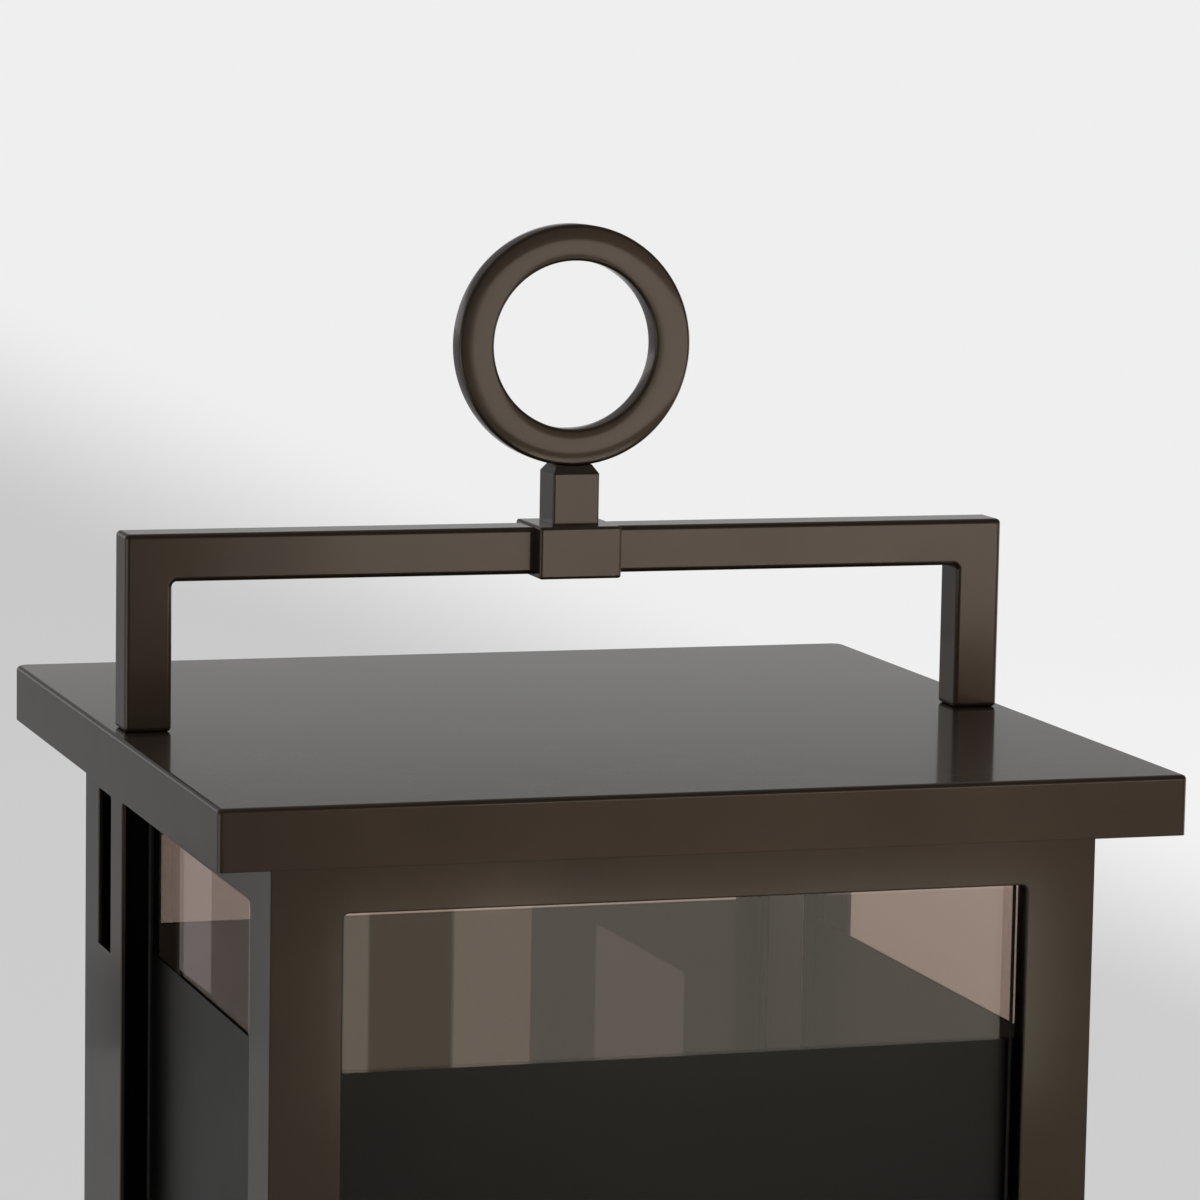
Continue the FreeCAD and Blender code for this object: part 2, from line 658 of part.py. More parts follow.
def ceiling_screws():
    """Screws down through the ceiling plate into the walls."""
    reach = CEILING_THICKNESS + SCREW_IN_WALL
    return Part.makeCompound([screw_down(x, y, CEILING_TOP, reach) for x, y in wall_screw_places()])


def roof_screws():
    """Screws up through the ceiling plate into the roof's bosses."""
    reach = CEILING_THICKNESS + ROOF_SCREW_IN_BOSS - SCREW_FIT
    return Part.makeCompound([screw_up(x, y, WALL_TOP, reach) for x, y in roof_screw_places()])


# ---------------------------------------------------------------- bail, stem and ring
def bail_leg_places():
    """The middle of each leg along X."""
    leg = BAIL_OUTER_HALF - BAIL_BAR / 2
    return (-leg, leg)


def bail():
    """The square bar handle over the roof."""
    half = BAIL_OUTER_HALF
    depth = BAIL_BAR / 2
    outer = box(-half, half, -depth, depth, ROOF_TOP, BAR_TOP)
    gap = half - BAIL_BAR
    bar = outer.cut(box(-gap, gap, -depth - PAST, depth + PAST, ROOF_TOP - PAST, BAR_BOTTOM))
    bar = bar.makeFillet(BAIL_EDGE_R, bar.Edges)
    holes = [screw_hole(x, 0, ROOF_TOP - PAST, ROOF_TOP + BAIL_SCREW_IN_LEG) for x in bail_leg_places()]
    return cut_all(bar, holes + [stem_bolt_hole()])


def bail_screws():
    """One screw up through the roof into each leg."""
    reach = ROOF_SKIN + BAIL_SCREW_IN_LEG - SCREW_FIT
    return Part.makeCompound([screw_up(x, 0, ROOF_UNDERSIDE, reach) for x in bail_leg_places()])


def stem_bolt_hole():
    """The recess for the stem bolt's head, and the hole for its shank."""
    recess = screw_hole(0, 0, COLLAR_BOTTOM - PAST, STEM_BOLT_SEAT, STEM_BOLT_HEAD_R)
    return fused([recess, screw_hole(0, 0, STEM_BOLT_SEAT - PAST, COLLAR_TOP + PAST, STEM_BOLT_R)])


def bail_collar():
    """The square block that the bar passes through."""
    half = COLLAR_SIDE / 2
    collar = box(-half, half, -half, half, COLLAR_BOTTOM, COLLAR_TOP)
    collar = collar.makeFillet(COLLAR_EDGE_R, collar.Edges)
    depth = BAIL_BAR / 2
    collar = collar.cut(box(-half - PAST, half + PAST, -depth, depth, BAR_BOTTOM, BAR_TOP))
    return collar.cut(stem_bolt_hole())


def level_rectangle(half_x, half_y, z):
    """A level rectangular wire about the vertical axis."""
    corners = [(-half_x, -half_y), (half_x, -half_y), (half_x, half_y), (-half_x, half_y)]
    points = [FreeCAD.Vector(x, y, z) for x, y in corners]
    return Part.makePolygon(points + points[:1])


def ring_stem():
    """The square stem, with shoulders that slope in to the ring on all four sides."""
    half = STEM_SIDE / 2
    top = STEM_SHOULDER + STEM_SHOULDER_RISE
    shank = box(-half, half, -half, half, COLLAR_TOP, STEM_SHOULDER)
    shoulder = level_rectangle(half, half, STEM_SHOULDER)
    crest = level_rectangle(STEM_TOP_WIDTH / 2, RING_THICKNESS / 2, top)
    stem = fused([shank, Part.makeLoft([shoulder, crest], True, True)])
    stem = rounded(stem, STEM_EDGE_R, upright)
    stem = stem.cut(rod(RING_OUTER_R, -half - PAST, half + PAST, 0, RING_CENTRE))
    return stem.cut(screw_hole(0, 0, COLLAR_TOP - PAST, COLLAR_TOP + STEM_BOLT_IN_STEM, STEM_BOLT_R))


def top_ring():
    """The flat ring on the stem."""
    half = RING_THICKNESS / 2
    ring = rod(RING_OUTER_R, -half, half, 0, RING_CENTRE)
    ring = ring.cut(rod(RING_INNER_R, -half - PAST, half + PAST, 0, RING_CENTRE))
    return chamfered(ring, RING_CHAMFER, lambda b: b.YLength < 1e-3)


def stem_bolt():
    """The bolt up into the stem, its head sunk in the collar and the bar."""
    reach = COLLAR_TOP - STEM_BOLT_SEAT + STEM_BOLT_IN_STEM - SCREW_FIT
    return screw_up(0, 0, STEM_BOLT_SEAT, reach, STEM_BOLT_R, STEM_BOLT_HEAD_R, STEM_BOLT_HEAD)


# ---------------------------------------------------------------- base and fitter
def base_tray():
    """The square plate that the walls stand on."""
    half = TRAY_HALF
    tray = box(-half, half, -half, half, TRAY_UNDERSIDE, WALL_BOTTOM)
    tray = rounded(tray, TRAY_CORNER_R, upright)
    tray = rounded(tray, TRAY_EDGE_R, lambda b: lies_at(WALL_BOTTOM, b.ZMin, b.ZMax))
    places = wall_screw_places() + fitter_screw_places() + bracket_screw_places()
    holes = [screw_hole(x, y, TRAY_UNDERSIDE - PAST, WALL_BOTTOM + PAST) for x, y in places]
    holes.append(post(BUSHING_HOLE_R, TRAY_UNDERSIDE - PAST, WALL_BOTTOM + PAST))
    return cut_all(tray, holes)


def tray_skirt():
    """The square frame that hangs from the plate's edge."""
    half = TRAY_HALF
    skirt = rounded(box(-half, half, -half, half, TRAY_BOTTOM, TRAY_UNDERSIDE), TRAY_CORNER_R, upright)
    inner = half - TRAY_WALL
    return skirt.cut(box(-inner, inner, -inner, inner, TRAY_BOTTOM - PAST, TRAY_UNDERSIDE + PAST))


def wall_screws():
    """Screws up through the tray into the walls."""
    places = wall_screw_places()
    return Part.makeCompound([screw_up(x, y, TRAY_UNDERSIDE, TRAY_SKIN + SCREW_IN_WALL) for x, y in places])


def fitter_screw_places():
    """Four screws on the fitter's flange."""
    along = (FLANGE_R - FLANGE_SCREW_INSET) * math.cos(math.radians(45))
    return [(x, y) for x in (-along, along) for y in (-along, along)]


def bracket_screw_places():
    """One screw through each foot of the lampholder bracket."""
    return [(-BRACKET_SCREW_X, 0.0), (BRACKET_SCREW_X, 0.0)]


def radial(shape, angle):
    """A shape built along +X, turned to its place round the fitter."""
    return turned(shape, angle)


def radial_rod(radius, inner, outer):
    """A rod along +X at the height of the set screws."""
    return Part.makeCylinder(radius, outer - inner, FreeCAD.Vector(inner, 0, SET_SCREW_HEIGHT), X_AXIS)


def post_fitter():
    """The cup that drops over the post, with a boss for each set screw."""
    outer = POST_BORE_R + FITTER_WALL
    bosses = [radial(radial_rod(SET_BOSS_R, outer - FITTER_WALL / 2, outer + SET_BOSS_HEIGHT), angle)
              for angle in SET_SCREW_ANGLES]
    cup = fused([post(outer, 0, FLANGE_BOTTOM)] + bosses)
    cup = rounded(cup, RIM_EDGE_R, lambda b: lies_at(0, b.ZMin, b.ZMax))
    tools = [post(POST_BORE_R, -PAST, POST_BORE_DEPTH), post(WIRE_WAY_R, 0, FLANGE_BOTTOM + PAST)]
    for angle in SET_SCREW_ANGLES:
        tools.append(radial(radial_rod(SET_SCREW_R + SET_SCREW_FIT, POST_BORE_R - PAST,
                                       outer + SET_BOSS_HEIGHT + PAST), angle))
    for x, y in bracket_screw_places():
        tools.append(screw_hole(x, y, FLANGE_BOTTOM - BRACKET_SCREW_IN_WEB - SCREW_FIT, FLANGE_BOTTOM + PAST))
    return cut_all(cup, tools)


def fitter_flange():
    """The round flange on top of the cup, screwed to the tray from above."""
    flange = post(FLANGE_R, FLANGE_BOTTOM, TRAY_UNDERSIDE)
    tools = [post(WIRE_WAY_R, FLANGE_BOTTOM - PAST, TRAY_UNDERSIDE + PAST)]
    for x, y in fitter_screw_places() + bracket_screw_places():
        tools.append(screw_hole(x, y, FLANGE_BOTTOM - PAST, TRAY_UNDERSIDE + PAST))
    return cut_all(flange, tools)


def fitter_screws():
    """Screws down through the tray into the flange."""
    places = fitter_screw_places()
    return Part.makeCompound([screw_down(x, y, WALL_BOTTOM, TRAY_SKIN + FLANGE_THICKNESS) for x, y in places])


def set_screw(angle):
    """A clamping screw, drawn back so that its tip clears the post."""
    tip = POST_BORE_R + SET_SCREW_TIP_INSET
    head = tip + SET_SCREW_LENGTH
    shank = radial_rod(SET_SCREW_R, tip, head + SET_SCREW_HEAD_HEIGHT / 2)
    return radial(fused([shank, radial_rod(SET_SCREW_HEAD_R, head, head + SET_SCREW_HEAD_HEIGHT)]), angle)


# ---------------------------------------------------------------- lampholder and lamp
def wire_bushing():
    """The rubber bushing where the wires come through the tray."""
    groove = post(BUSHING_HOLE_R, TRAY_UNDERSIDE, WALL_BOTTOM)
    lower = post(BUSHING_LIP_R, TRAY_UNDERSIDE - BUSHING_LIP, TRAY_UNDERSIDE)
    upper = post(BUSHING_LIP_R, WALL_BOTTOM, WALL_BOTTOM + BUSHING_LIP)
    bore = post(BUSHING_WIRE_R, TRAY_UNDERSIDE - BUSHING_LIP - PAST, WALL_BOTTOM + BUSHING_LIP + PAST)
    return fused([groove, lower, upper]).cut(bore)


def socket_bracket():
    """The bent strap that holds the lampholder above the wires."""
    half = BRACKET_WIDTH / 2
    sheet = BRACKET_SHEET
    top = box(-BRACKET_TOP_HALF, BRACKET_TOP_HALF, -half, half, BRACKET_TOP - sheet, BRACKET_TOP)
    pieces = [top]
    for side in (-1, 1):
        leg_x = sorted((side * BRACKET_TOP_HALF, side * (BRACKET_TOP_HALF - sheet)))
        foot_x = sorted((side * (BRACKET_TOP_HALF - sheet), side * BRACKET_FOOT_HALF))
        pieces.append(box(leg_x[0], leg_x[1], -half, half, WALL_BOTTOM, BRACKET_TOP))
        pieces.append(box(foot_x[0], foot_x[1], -half, half, WALL_BOTTOM, WALL_BOTTOM + sheet))
    hole_top = WALL_BOTTOM + sheet + PAST
    holes = [screw_hole(x, y, WALL_BOTTOM - PAST, hole_top) for x, y in bracket_screw_places()]
    return cut_all(fused(pieces), holes)


def bracket_screws():
    """Screws down through the bracket's feet, the tray and the flange into the cup's web."""
    reach = BRACKET_SHEET + TRAY_SKIN + FLANGE_THICKNESS + BRACKET_SCREW_IN_WEB
    seat = WALL_BOTTOM + BRACKET_SHEET
    return Part.makeCompound([screw_down(x, y, seat, reach) for x, y in bracket_screw_places()])


def lamp_socket():
    """The lampholder body."""
    top = BRACKET_TOP + SOCKET_HEIGHT
    body = post(SOCKET_R, BRACKET_TOP, top)
    body = chamfered(body, SOCKET_RIM_CHAMFER, lambda b: lies_at(top, b.ZMin, b.ZMax))
    return body.cut(post(SOCKET_BORE_R, SOCKET_FLOOR, top + PAST))


def socket_shell():
    """The metal sleeve inside the lampholder."""
    top = SOCKET_FLOOR + SHELL_HEIGHT
    sleeve = post(SOCKET_BORE_R, SOCKET_FLOOR, top)
    return sleeve.cut(post(SOCKET_BORE_R - SHELL_THICKNESS, SOCKET_FLOOR - PAST, top + PAST))


def lamp_cap():
    """The lamp's metal cap with its end contact."""
    start = LAMP_BOTTOM + LAMP_CONTACT_HEIGHT
    return fused([post(LAMP_CAP_R, start, CAP_TOP), post(LAMP_CONTACT_R, LAMP_BOTTOM, start + PAST)])


def lamp_bulb():
    """The round bulb, joined to the cap by a straight neck and a smooth flare."""
    centre = CAP_TOP + LAMP_BULB_RISE
    flare_angle = math.radians(-35)
    meet = (LAMP_BULB_R * math.cos(flare_angle), centre + LAMP_BULB_R * math.sin(flare_angle))
    top = FreeCAD.Vector(0, 0, centre + LAMP_BULB_R)
    side = FreeCAD.Vector(LAMP_BULB_R, 0, centre)
    joint = FreeCAD.Vector(meet[0], 0, meet[1])
    neck_top = CAP_TOP + LAMP_NECK_R / 2
    neck = FreeCAD.Vector(LAMP_NECK_R, 0, neck_top)
    foot = FreeCAD.Vector(LAMP_NECK_R, 0, CAP_TOP)
    axis = FreeCAD.Vector(0, 0, CAP_TOP)
    edges = [
        Part.Arc(top, side, joint).toShape(),
        Part.LineSegment(joint, neck).toShape(),
        Part.LineSegment(neck, foot).toShape(),
        Part.LineSegment(foot, axis).toShape(),
        Part.LineSegment(axis, top).toShape(),
    ]
    return Part.Face(Part.Wire(edges)).revolve(ORIGIN, Z_AXIS, 360)


# ---------------------------------------------------------------- the whole lantern
def main():
    """Build and write every node."""
    export("roof_cap", roof_cap())
    export("ceiling_plate", ceiling_plate())
    export("ceiling_screws", ceiling_screws())
    export("roof_screws", roof_screws())
    export("bail", bail())
    export("bail_screws", bail_screws())
    export("bail_collar", bail_collar())
    export("ring_stem", ring_stem())
    export("top_ring", top_ring())
    export("stem_bolt", stem_bolt())

    export("front_frame", front_frame())
    side = right_frame()
    cover = right_column_cover()
    export("right_frame", side)
    export("left_frame", mirrored(side))
    export("right_column_cover", cover)
    export("left_column_cover", mirrored(cover))
    export("rear_frame", rear_frame())
    export_glazing()

    export("rear_door_frame", rear_door_frame())
    frame_leaves, door_leaves, pins = hinges()
    export("hinge_frame_leaves", frame_leaves)
    export("hinge_door_leaves", door_leaves)
    export("hinge_pins", pins)
    export("latch_knob", latch_knob())
    export("latch_cam", latch_cam())
    export("latch_nut", latch_nut())

    export("base_tray", base_tray())
    export("tray_skirt", tray_skirt())
    export("wall_screws", wall_screws())
    export("post_fitter", post_fitter())
    export("fitter_flange", fitter_flange())
    export("fitter_screws", fitter_screws())
    for number, angle in enumerate(SET_SCREW_ANGLES, start=1):
        export("set_screw_" + str(number), set_screw(angle))

    export("wire_bushing", wire_bushing())
    export("socket_bracket", socket_bracket())
    export("bracket_screws", bracket_screws())
    export("lamp_socket", lamp_socket())
    export("socket_shell", socket_shell())
    export("lamp_cap", lamp_cap())
    export("lamp_bulb", lamp_bulb())


main()
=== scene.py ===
"""Looks of a square post top lantern: its finishes, small hardware, studio and camera.

The solid model is loaded first as a fixed frame. Every size here is in metres, in that frame.
"""
import json
import logging
import math
from collections.abc import Callable, Iterable
from dataclasses import dataclass, replace
from enum import Enum

import bpy
from mathutils import Matrix, Vector

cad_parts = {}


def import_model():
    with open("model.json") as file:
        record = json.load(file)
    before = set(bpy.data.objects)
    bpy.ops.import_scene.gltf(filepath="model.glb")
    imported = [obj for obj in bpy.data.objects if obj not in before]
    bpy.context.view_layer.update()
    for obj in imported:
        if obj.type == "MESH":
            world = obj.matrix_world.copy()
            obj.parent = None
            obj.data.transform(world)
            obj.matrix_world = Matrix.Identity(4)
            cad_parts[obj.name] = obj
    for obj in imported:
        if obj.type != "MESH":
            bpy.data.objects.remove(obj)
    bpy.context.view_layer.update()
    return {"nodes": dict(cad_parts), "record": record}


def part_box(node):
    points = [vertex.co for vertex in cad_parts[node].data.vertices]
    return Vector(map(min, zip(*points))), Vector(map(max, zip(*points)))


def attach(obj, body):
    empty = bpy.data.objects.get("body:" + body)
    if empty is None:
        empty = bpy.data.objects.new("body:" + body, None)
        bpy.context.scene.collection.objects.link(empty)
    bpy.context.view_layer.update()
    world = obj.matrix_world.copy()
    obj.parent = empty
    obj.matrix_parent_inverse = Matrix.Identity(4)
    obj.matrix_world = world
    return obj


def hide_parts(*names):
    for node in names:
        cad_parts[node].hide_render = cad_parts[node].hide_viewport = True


LOG = logging.getLogger("lantern")
MM = 0.001
TINY = 0.01 * MM  # places nearer than this count as one
FACING = 0.9  # a face with more of its normal along an axis than this faces that way

Colour = tuple[float, float, float]
Place = tuple[float, float, float]
Pair = tuple[float, float]
Material = bpy.types.Material
Piece = bpy.types.Object
Socket = bpy.types.NodeSocket
Tree = bpy.types.NodeTree
Test = Callable[[Vector, Vector], bool]


class Body(Enum):
    """The bodies of the lantern that pieces ride on."""

    LANTERN = "lantern_body"
    DOOR = "rear_door"
    LAMP = "lamp"
    CLAMP_1 = "clamp_1"
    CLAMP_2 = "clamp_2"
    CLAMP_3 = "clamp_3"


class Wall(Enum):
    """The four glazed sides, each with its turn from the front position in degrees."""

    FRONT = 0
    RIGHT = 90
    REAR = 180
    LEFT = 270

    @property
    def label(self) -> str:
        """The wall's name as it stands in node names."""
        return self.name.lower()

    @property
    def turn(self) -> Matrix:
        """The turn about the vertical axis from the front position to this wall."""
        return Matrix.Rotation(math.radians(self.value), 4, "Z")

    @property
    def body(self) -> Body:
        """The body that carries this wall's glass."""
        return Body.DOOR if self is Wall.REAR else Body.LANTERN


def seen_as(red: int, green: int, blue: int) -> Colour:
    """Turn a colour as seen on screen, 0 to 255, into linear light.

    Args:
        red: The red share.
        green: The green share.
        blue: The blue share.

    Returns:
        The linear colour.
    """
    shares = [value / 255 for value in (red, green, blue)]
    return tuple(((s + 0.055) / 1.055) ** 2.4 if s > 0.04045 else s / 12.92 for s in shares)


# ---------------------------------------------------------------- node trees
class NodeNet:
    """A node tree with short ways to add and join nodes."""

    def __init__(self, tree: Tree) -> None:
        """Keep the tree to work on."""
        self.tree = tree

    def add(self, kind: str, values: dict | None = None, **settings: object) -> bpy.types.Node:
        """Add a node.

        Args:
            kind: The node's class name without the ShaderNode start.
            values: Plain values or outputs for its inputs, by name or number.
            **settings: Properties of the node itself.

        Returns:
            The new node.
        """
        node = self.tree.nodes.new("ShaderNode" + kind)
        for key, value in settings.items():
            setattr(node, key, value)
        self.fill(node, values or {})
        return node

    def fill(self, node: bpy.types.Node, values: dict) -> None:
        """Join outputs to a node's inputs, or set the inputs' own values.

        Args:
            node: The node.
            values: Outputs, numbers, colours or vectors, by the inputs' names or numbers.
        """
        for key, value in values.items():
            self.feed(node.inputs[key], value)

    def feed(self, socket: Socket, value: object) -> None:
        """Join an output to a socket, or set the socket's own value.

        Args:
            socket: The input to fill.
            value: An output socket, a number, a colour or a vector.
        """
        if isinstance(value, Socket):
            self.tree.links.new(value, socket)
        elif isinstance(value, tuple) and len(value) == 3 and socket.type == "RGBA":
            socket.default_value = (*value, 1.0)
        else:
            socket.default_value = value

    def mix(self, share: object, first: object, second: object) -> Socket:
        """Mix two colours.

        Args:
            share: How much of the second colour.
            first: The colour at 0.
            second: The colour at 1.

        Returns:
            The mixed colour.
        """
        return self.add("Mix", {0: share, 6: first, 7: second}, data_type="RGBA").outputs[2]

    def sum(self, operation: str, first: object, second: object = 0.0) -> Socket:
        """Work out one number from two.

        Args:
            operation: The Math node's operation.
            first: The first number.
            second: The second number.

        Returns:
            The result.
        """
        return self.add("Math", {0: first, 1: second}, operation=operation).outputs[0]

    def scaled(self, value: object, old: Pair, new: Pair = (0.0, 1.0)) -> Socket:
        """Move a number from one range into another, held at the ends.

        Args:
            value: The number.
            old: The range that it comes from.
            new: The range that it goes to.

        Returns:
            The number in the new range.
        """
        return self.add("MapRange", {0: value, 1: old[0], 2: old[1], 3: new[0], 4: new[1]}).outputs[0]

    def show(self, surface: Socket, output: str = "Material Output") -> None:
        """Make a shader the one that the tree shows."""
        self.feed(self.tree.nodes[output].inputs["Surface"], surface)

    def place(self) -> Socket:
        """Give the place on the piece, in metres."""
        return self.add("TexCoord").outputs["Object"]

    def noise(self, place: Socket, scale: object, detail: float, **more: float) -> Socket:
        """Add a noise pattern.

        Args:
            place: The place that it is read at.
            scale: How fine it is.
            detail: How many finer layers it has.
            **more: Its other inputs by name.

        Returns:
            Its value.
        """
        return self.add("TexNoise", {"Vector": place, "Scale": scale, "Detail": detail, **more}).outputs[0]

    def effect(self, group: Tree, **values: object) -> Socket:
        """Place a shared effect with its own values.

        Args:
            group: The effect's node group.
            **values: Its inputs by name.

        Returns:
            What it gives.
        """
        node = self.add("Group", node_tree=group)
        self.fill(node, values)
        return node.outputs[0]


def new_material(name: str) -> tuple[Material, NodeNet, bpy.types.Node]:
    """Make a material with one shader.

    Args:
        name: Its name.

    Returns:
        The material, its net and its Principled shader.
    """
    material = bpy.data.materials.new(name)
    material.use_nodes = True
    return material, NodeNet(material.node_tree), material.node_tree.nodes["Principled BSDF"]


class Effects:
    """Node groups for effects that several finishes share. Each is built once and gives one value.

    A spread is the stretch of a noise pattern that counts, and a share is what it is turned into.
    """

    cloud_spread: Pair = (0.36, 0.64)
    edge_turn: Pair = (0.995, 0.82)
    speck_scale: float = 420.0
    speck_spread: Pair = (0.42, 0.62)
    speck_share: Pair = (0.15, 1.0)
    facing_up: Pair = (0.6, 1.0)
    dust_scale: float = 30.0
    dust_spread: Pair = (0.4, 0.7)
    dust_share: Pair = (0.3, 1.0)
    smudge_spread: Pair = (0.35, 0.7)
    bevel_samples: int = 4

    def __init__(self) -> None:
        """Build every group."""
        self.clouds = self.make_clouds()
        self.wear = self.make_wear()
        self.dust = self.make_dust()
        self.grain = self.make_grain()
        self.smudges = self.make_smudges()

    @staticmethod
    def new_group(name: str, inputs: dict[str, str], output: str, kind: str) -> tuple:
        """Start a group with its named sockets.

        Args:
            name: The group's name.
            inputs: Socket kind by input name.
            output: The output's name.
            kind: The output's kind.

        Returns:
            The group's net, its given values by name, and the socket for its result.
        """
        group = bpy.data.node_groups.new(name, "ShaderNodeTree")
        for in_out, sockets in (("INPUT", inputs), ("OUTPUT", {output: kind})):
            for label, sort in sockets.items():
                group.interface.new_socket(label, in_out=in_out, socket_type="NodeSocket" + sort)
        entry = group.nodes.new("NodeGroupInput")
        leave = group.nodes.new("NodeGroupOutput")
        return NodeNet(group), entry.outputs, leave.inputs[0]

    def make_clouds(self) -> Tree:
        """Make soft clouds between two tones.

        Returns:
            The group.
        """
        net, given, result = self.new_group(
            "tone_clouds", {"First": "Color", "Second": "Color", "Scale": "Float"}, "Color", "Color")
        cloud = net.noise(net.place(), given["Scale"], detail=5.0, Roughness=0.6)
        net.feed(result, net.mix(net.scaled(cloud, self.cloud_spread), given["First"], given["Second"]))
        return net.tree

    def make_wear(self) -> Tree:
        """Make a worn tone along outer edges, broken up by a fine pattern.

        Returns:
            The group.
        """
        net, given, result = self.new_group(
            "edge_wear", {"Color": "Color", "Worn": "Color", "Radius": "Float", "Amount": "Float"},
            "Color", "Color")
        soft = net.add("Bevel", {"Radius": given["Radius"]}, samples=self.bevel_samples)
        flat = net.add("NewGeometry")
        dot = net.add("VectorMath", {0: soft.outputs[0], 1: flat.outputs["Normal"]}, operation="DOT_PRODUCT")
        edge = net.scaled(dot.outputs["Value"], self.edge_turn)
        speck = net.noise(net.place(), self.speck_scale, detail=3.0)
        speck = net.scaled(speck, self.speck_spread, self.speck_share)
        mask = net.sum("MULTIPLY", net.sum("MULTIPLY", edge, speck), given["Amount"])
        net.feed(result, net.mix(mask, given["Color"], given["Worn"]))
        return net.tree

    def make_dust(self) -> Tree:
        """Make fine dust on what faces up.

        Returns:
            The group.
        """
        net, given, result = self.new_group(
            "settled_dust", {"Color": "Color", "Dust": "Color", "Amount": "Float"}, "Color", "Color")
        normal = net.add("SeparateXYZ", {0: net.add("NewGeometry").outputs["Normal"]})
        up = net.scaled(normal.outputs["Z"], self.facing_up)
        patch = net.noise(net.place(), self.dust_scale, detail=8.0, Roughness=0.75)
        mask = net.sum("MULTIPLY", up, net.scaled(patch, self.dust_spread, self.dust_share))
        net.feed(result, net.mix(net.sum("MULTIPLY", mask, given["Amount"]), given["Color"], given["Dust"]))
        return net.tree

    def make_grain(self) -> Tree:
        """Make fine bumps over softened edges.

        Returns:
            The group.
        """
        net, given, result = self.new_group(
            "fine_grain", {"Scale": "Float", "Strength": "Float", "Height": "Float", "Radius": "Float"},
            "Normal", "Vector")
        grain = net.noise(net.place(), given["Scale"], detail=3.0, Roughness=0.55)
        soft = net.add("Bevel", {"Radius": given["Radius"]}, samples=self.bevel_samples)
        bump = net.add("Bump", {"Strength": given["Strength"], "Distance": given["Height"],
                                "Height": grain, "Normal": soft.outputs[0]})
        net.feed(result, bump.outputs[0])
        return net.tree

    def make_smudges(self) -> Tree:
        """Make patches of a rougher value, as from handling and rain.

        Returns:
            The group.
        """
        net, given, result = self.new_group(
            "smudges", {"Scale": "Float", "Low": "Float", "High": "Float"}, "Value", "Float")
        noise = net.noise(net.place(), given["Scale"], detail=4.0, Distortion=0.6)
        share = net.scaled(noise, self.smudge_spread)
        net.feed(result, net.scaled(share, (0.0, 1.0), (given["Low"], given["High"])))
        return net.tree


# ---------------------------------------------------------------- finishes
@dataclass(frozen=True)
class Grain:
    """A fine grain over softened edges: its scale, strength, height and the edges' radius."""

    scale: float
    strength: float
    height: float
    radius: float


@dataclass(frozen=True, kw_only=True)
class Finish:
    """What every finish shares: clouds between two tones, patches of roughness and a fine grain."""

    name: str
    tones: tuple[Colour, Colour]
    roughness: Pair
    cloud_scale: float
    patch_scale: float | None = None
    grain: Grain | None = None

    def build(self, effects: Effects) -> Material:
        """Build the material.

        Args:
            effects: The shared node groups.

        Returns:
            The material.
        """
        material, net, shader = new_material(self.name)
        net.fill(shader, {"Base Color": self.colour(net, effects), "Roughness": self.rough(net, effects),
                          "Normal": self.normal(net, effects), **self.plain_values()})
        self.complete(net, shader)
        return material

    def colour(self, net: NodeNet, effects: Effects) -> Socket:
        """Cloud the two tones into each other."""
        return net.effect(effects.clouds, First=self.tones[0], Second=self.tones[1], Scale=self.cloud_scale)

    def rough(self, net: NodeNet, effects: Effects) -> Socket:
        """Vary the roughness in patches."""
        low, high = self.roughness
        return net.effect(effects.smudges, Scale=self.patch_scale, Low=low, High=high)

    def normal(self, net: NodeNet, effects: Effects) -> Socket:
        """Lay the grain over the surface."""
        return net.effect(effects.grain, Scale=self.grain.scale, Strength=self.grain.strength,
                          Height=self.grain.height, Radius=self.grain.radius)

    def plain_values(self) -> dict[str, float]:
        """Give the shader's values that are the same all over."""
        return {}

    def complete(self, net: NodeNet, shader: bpy.types.Node) -> None:
        """Leave the shader as it is, in a finish that needs no more."""


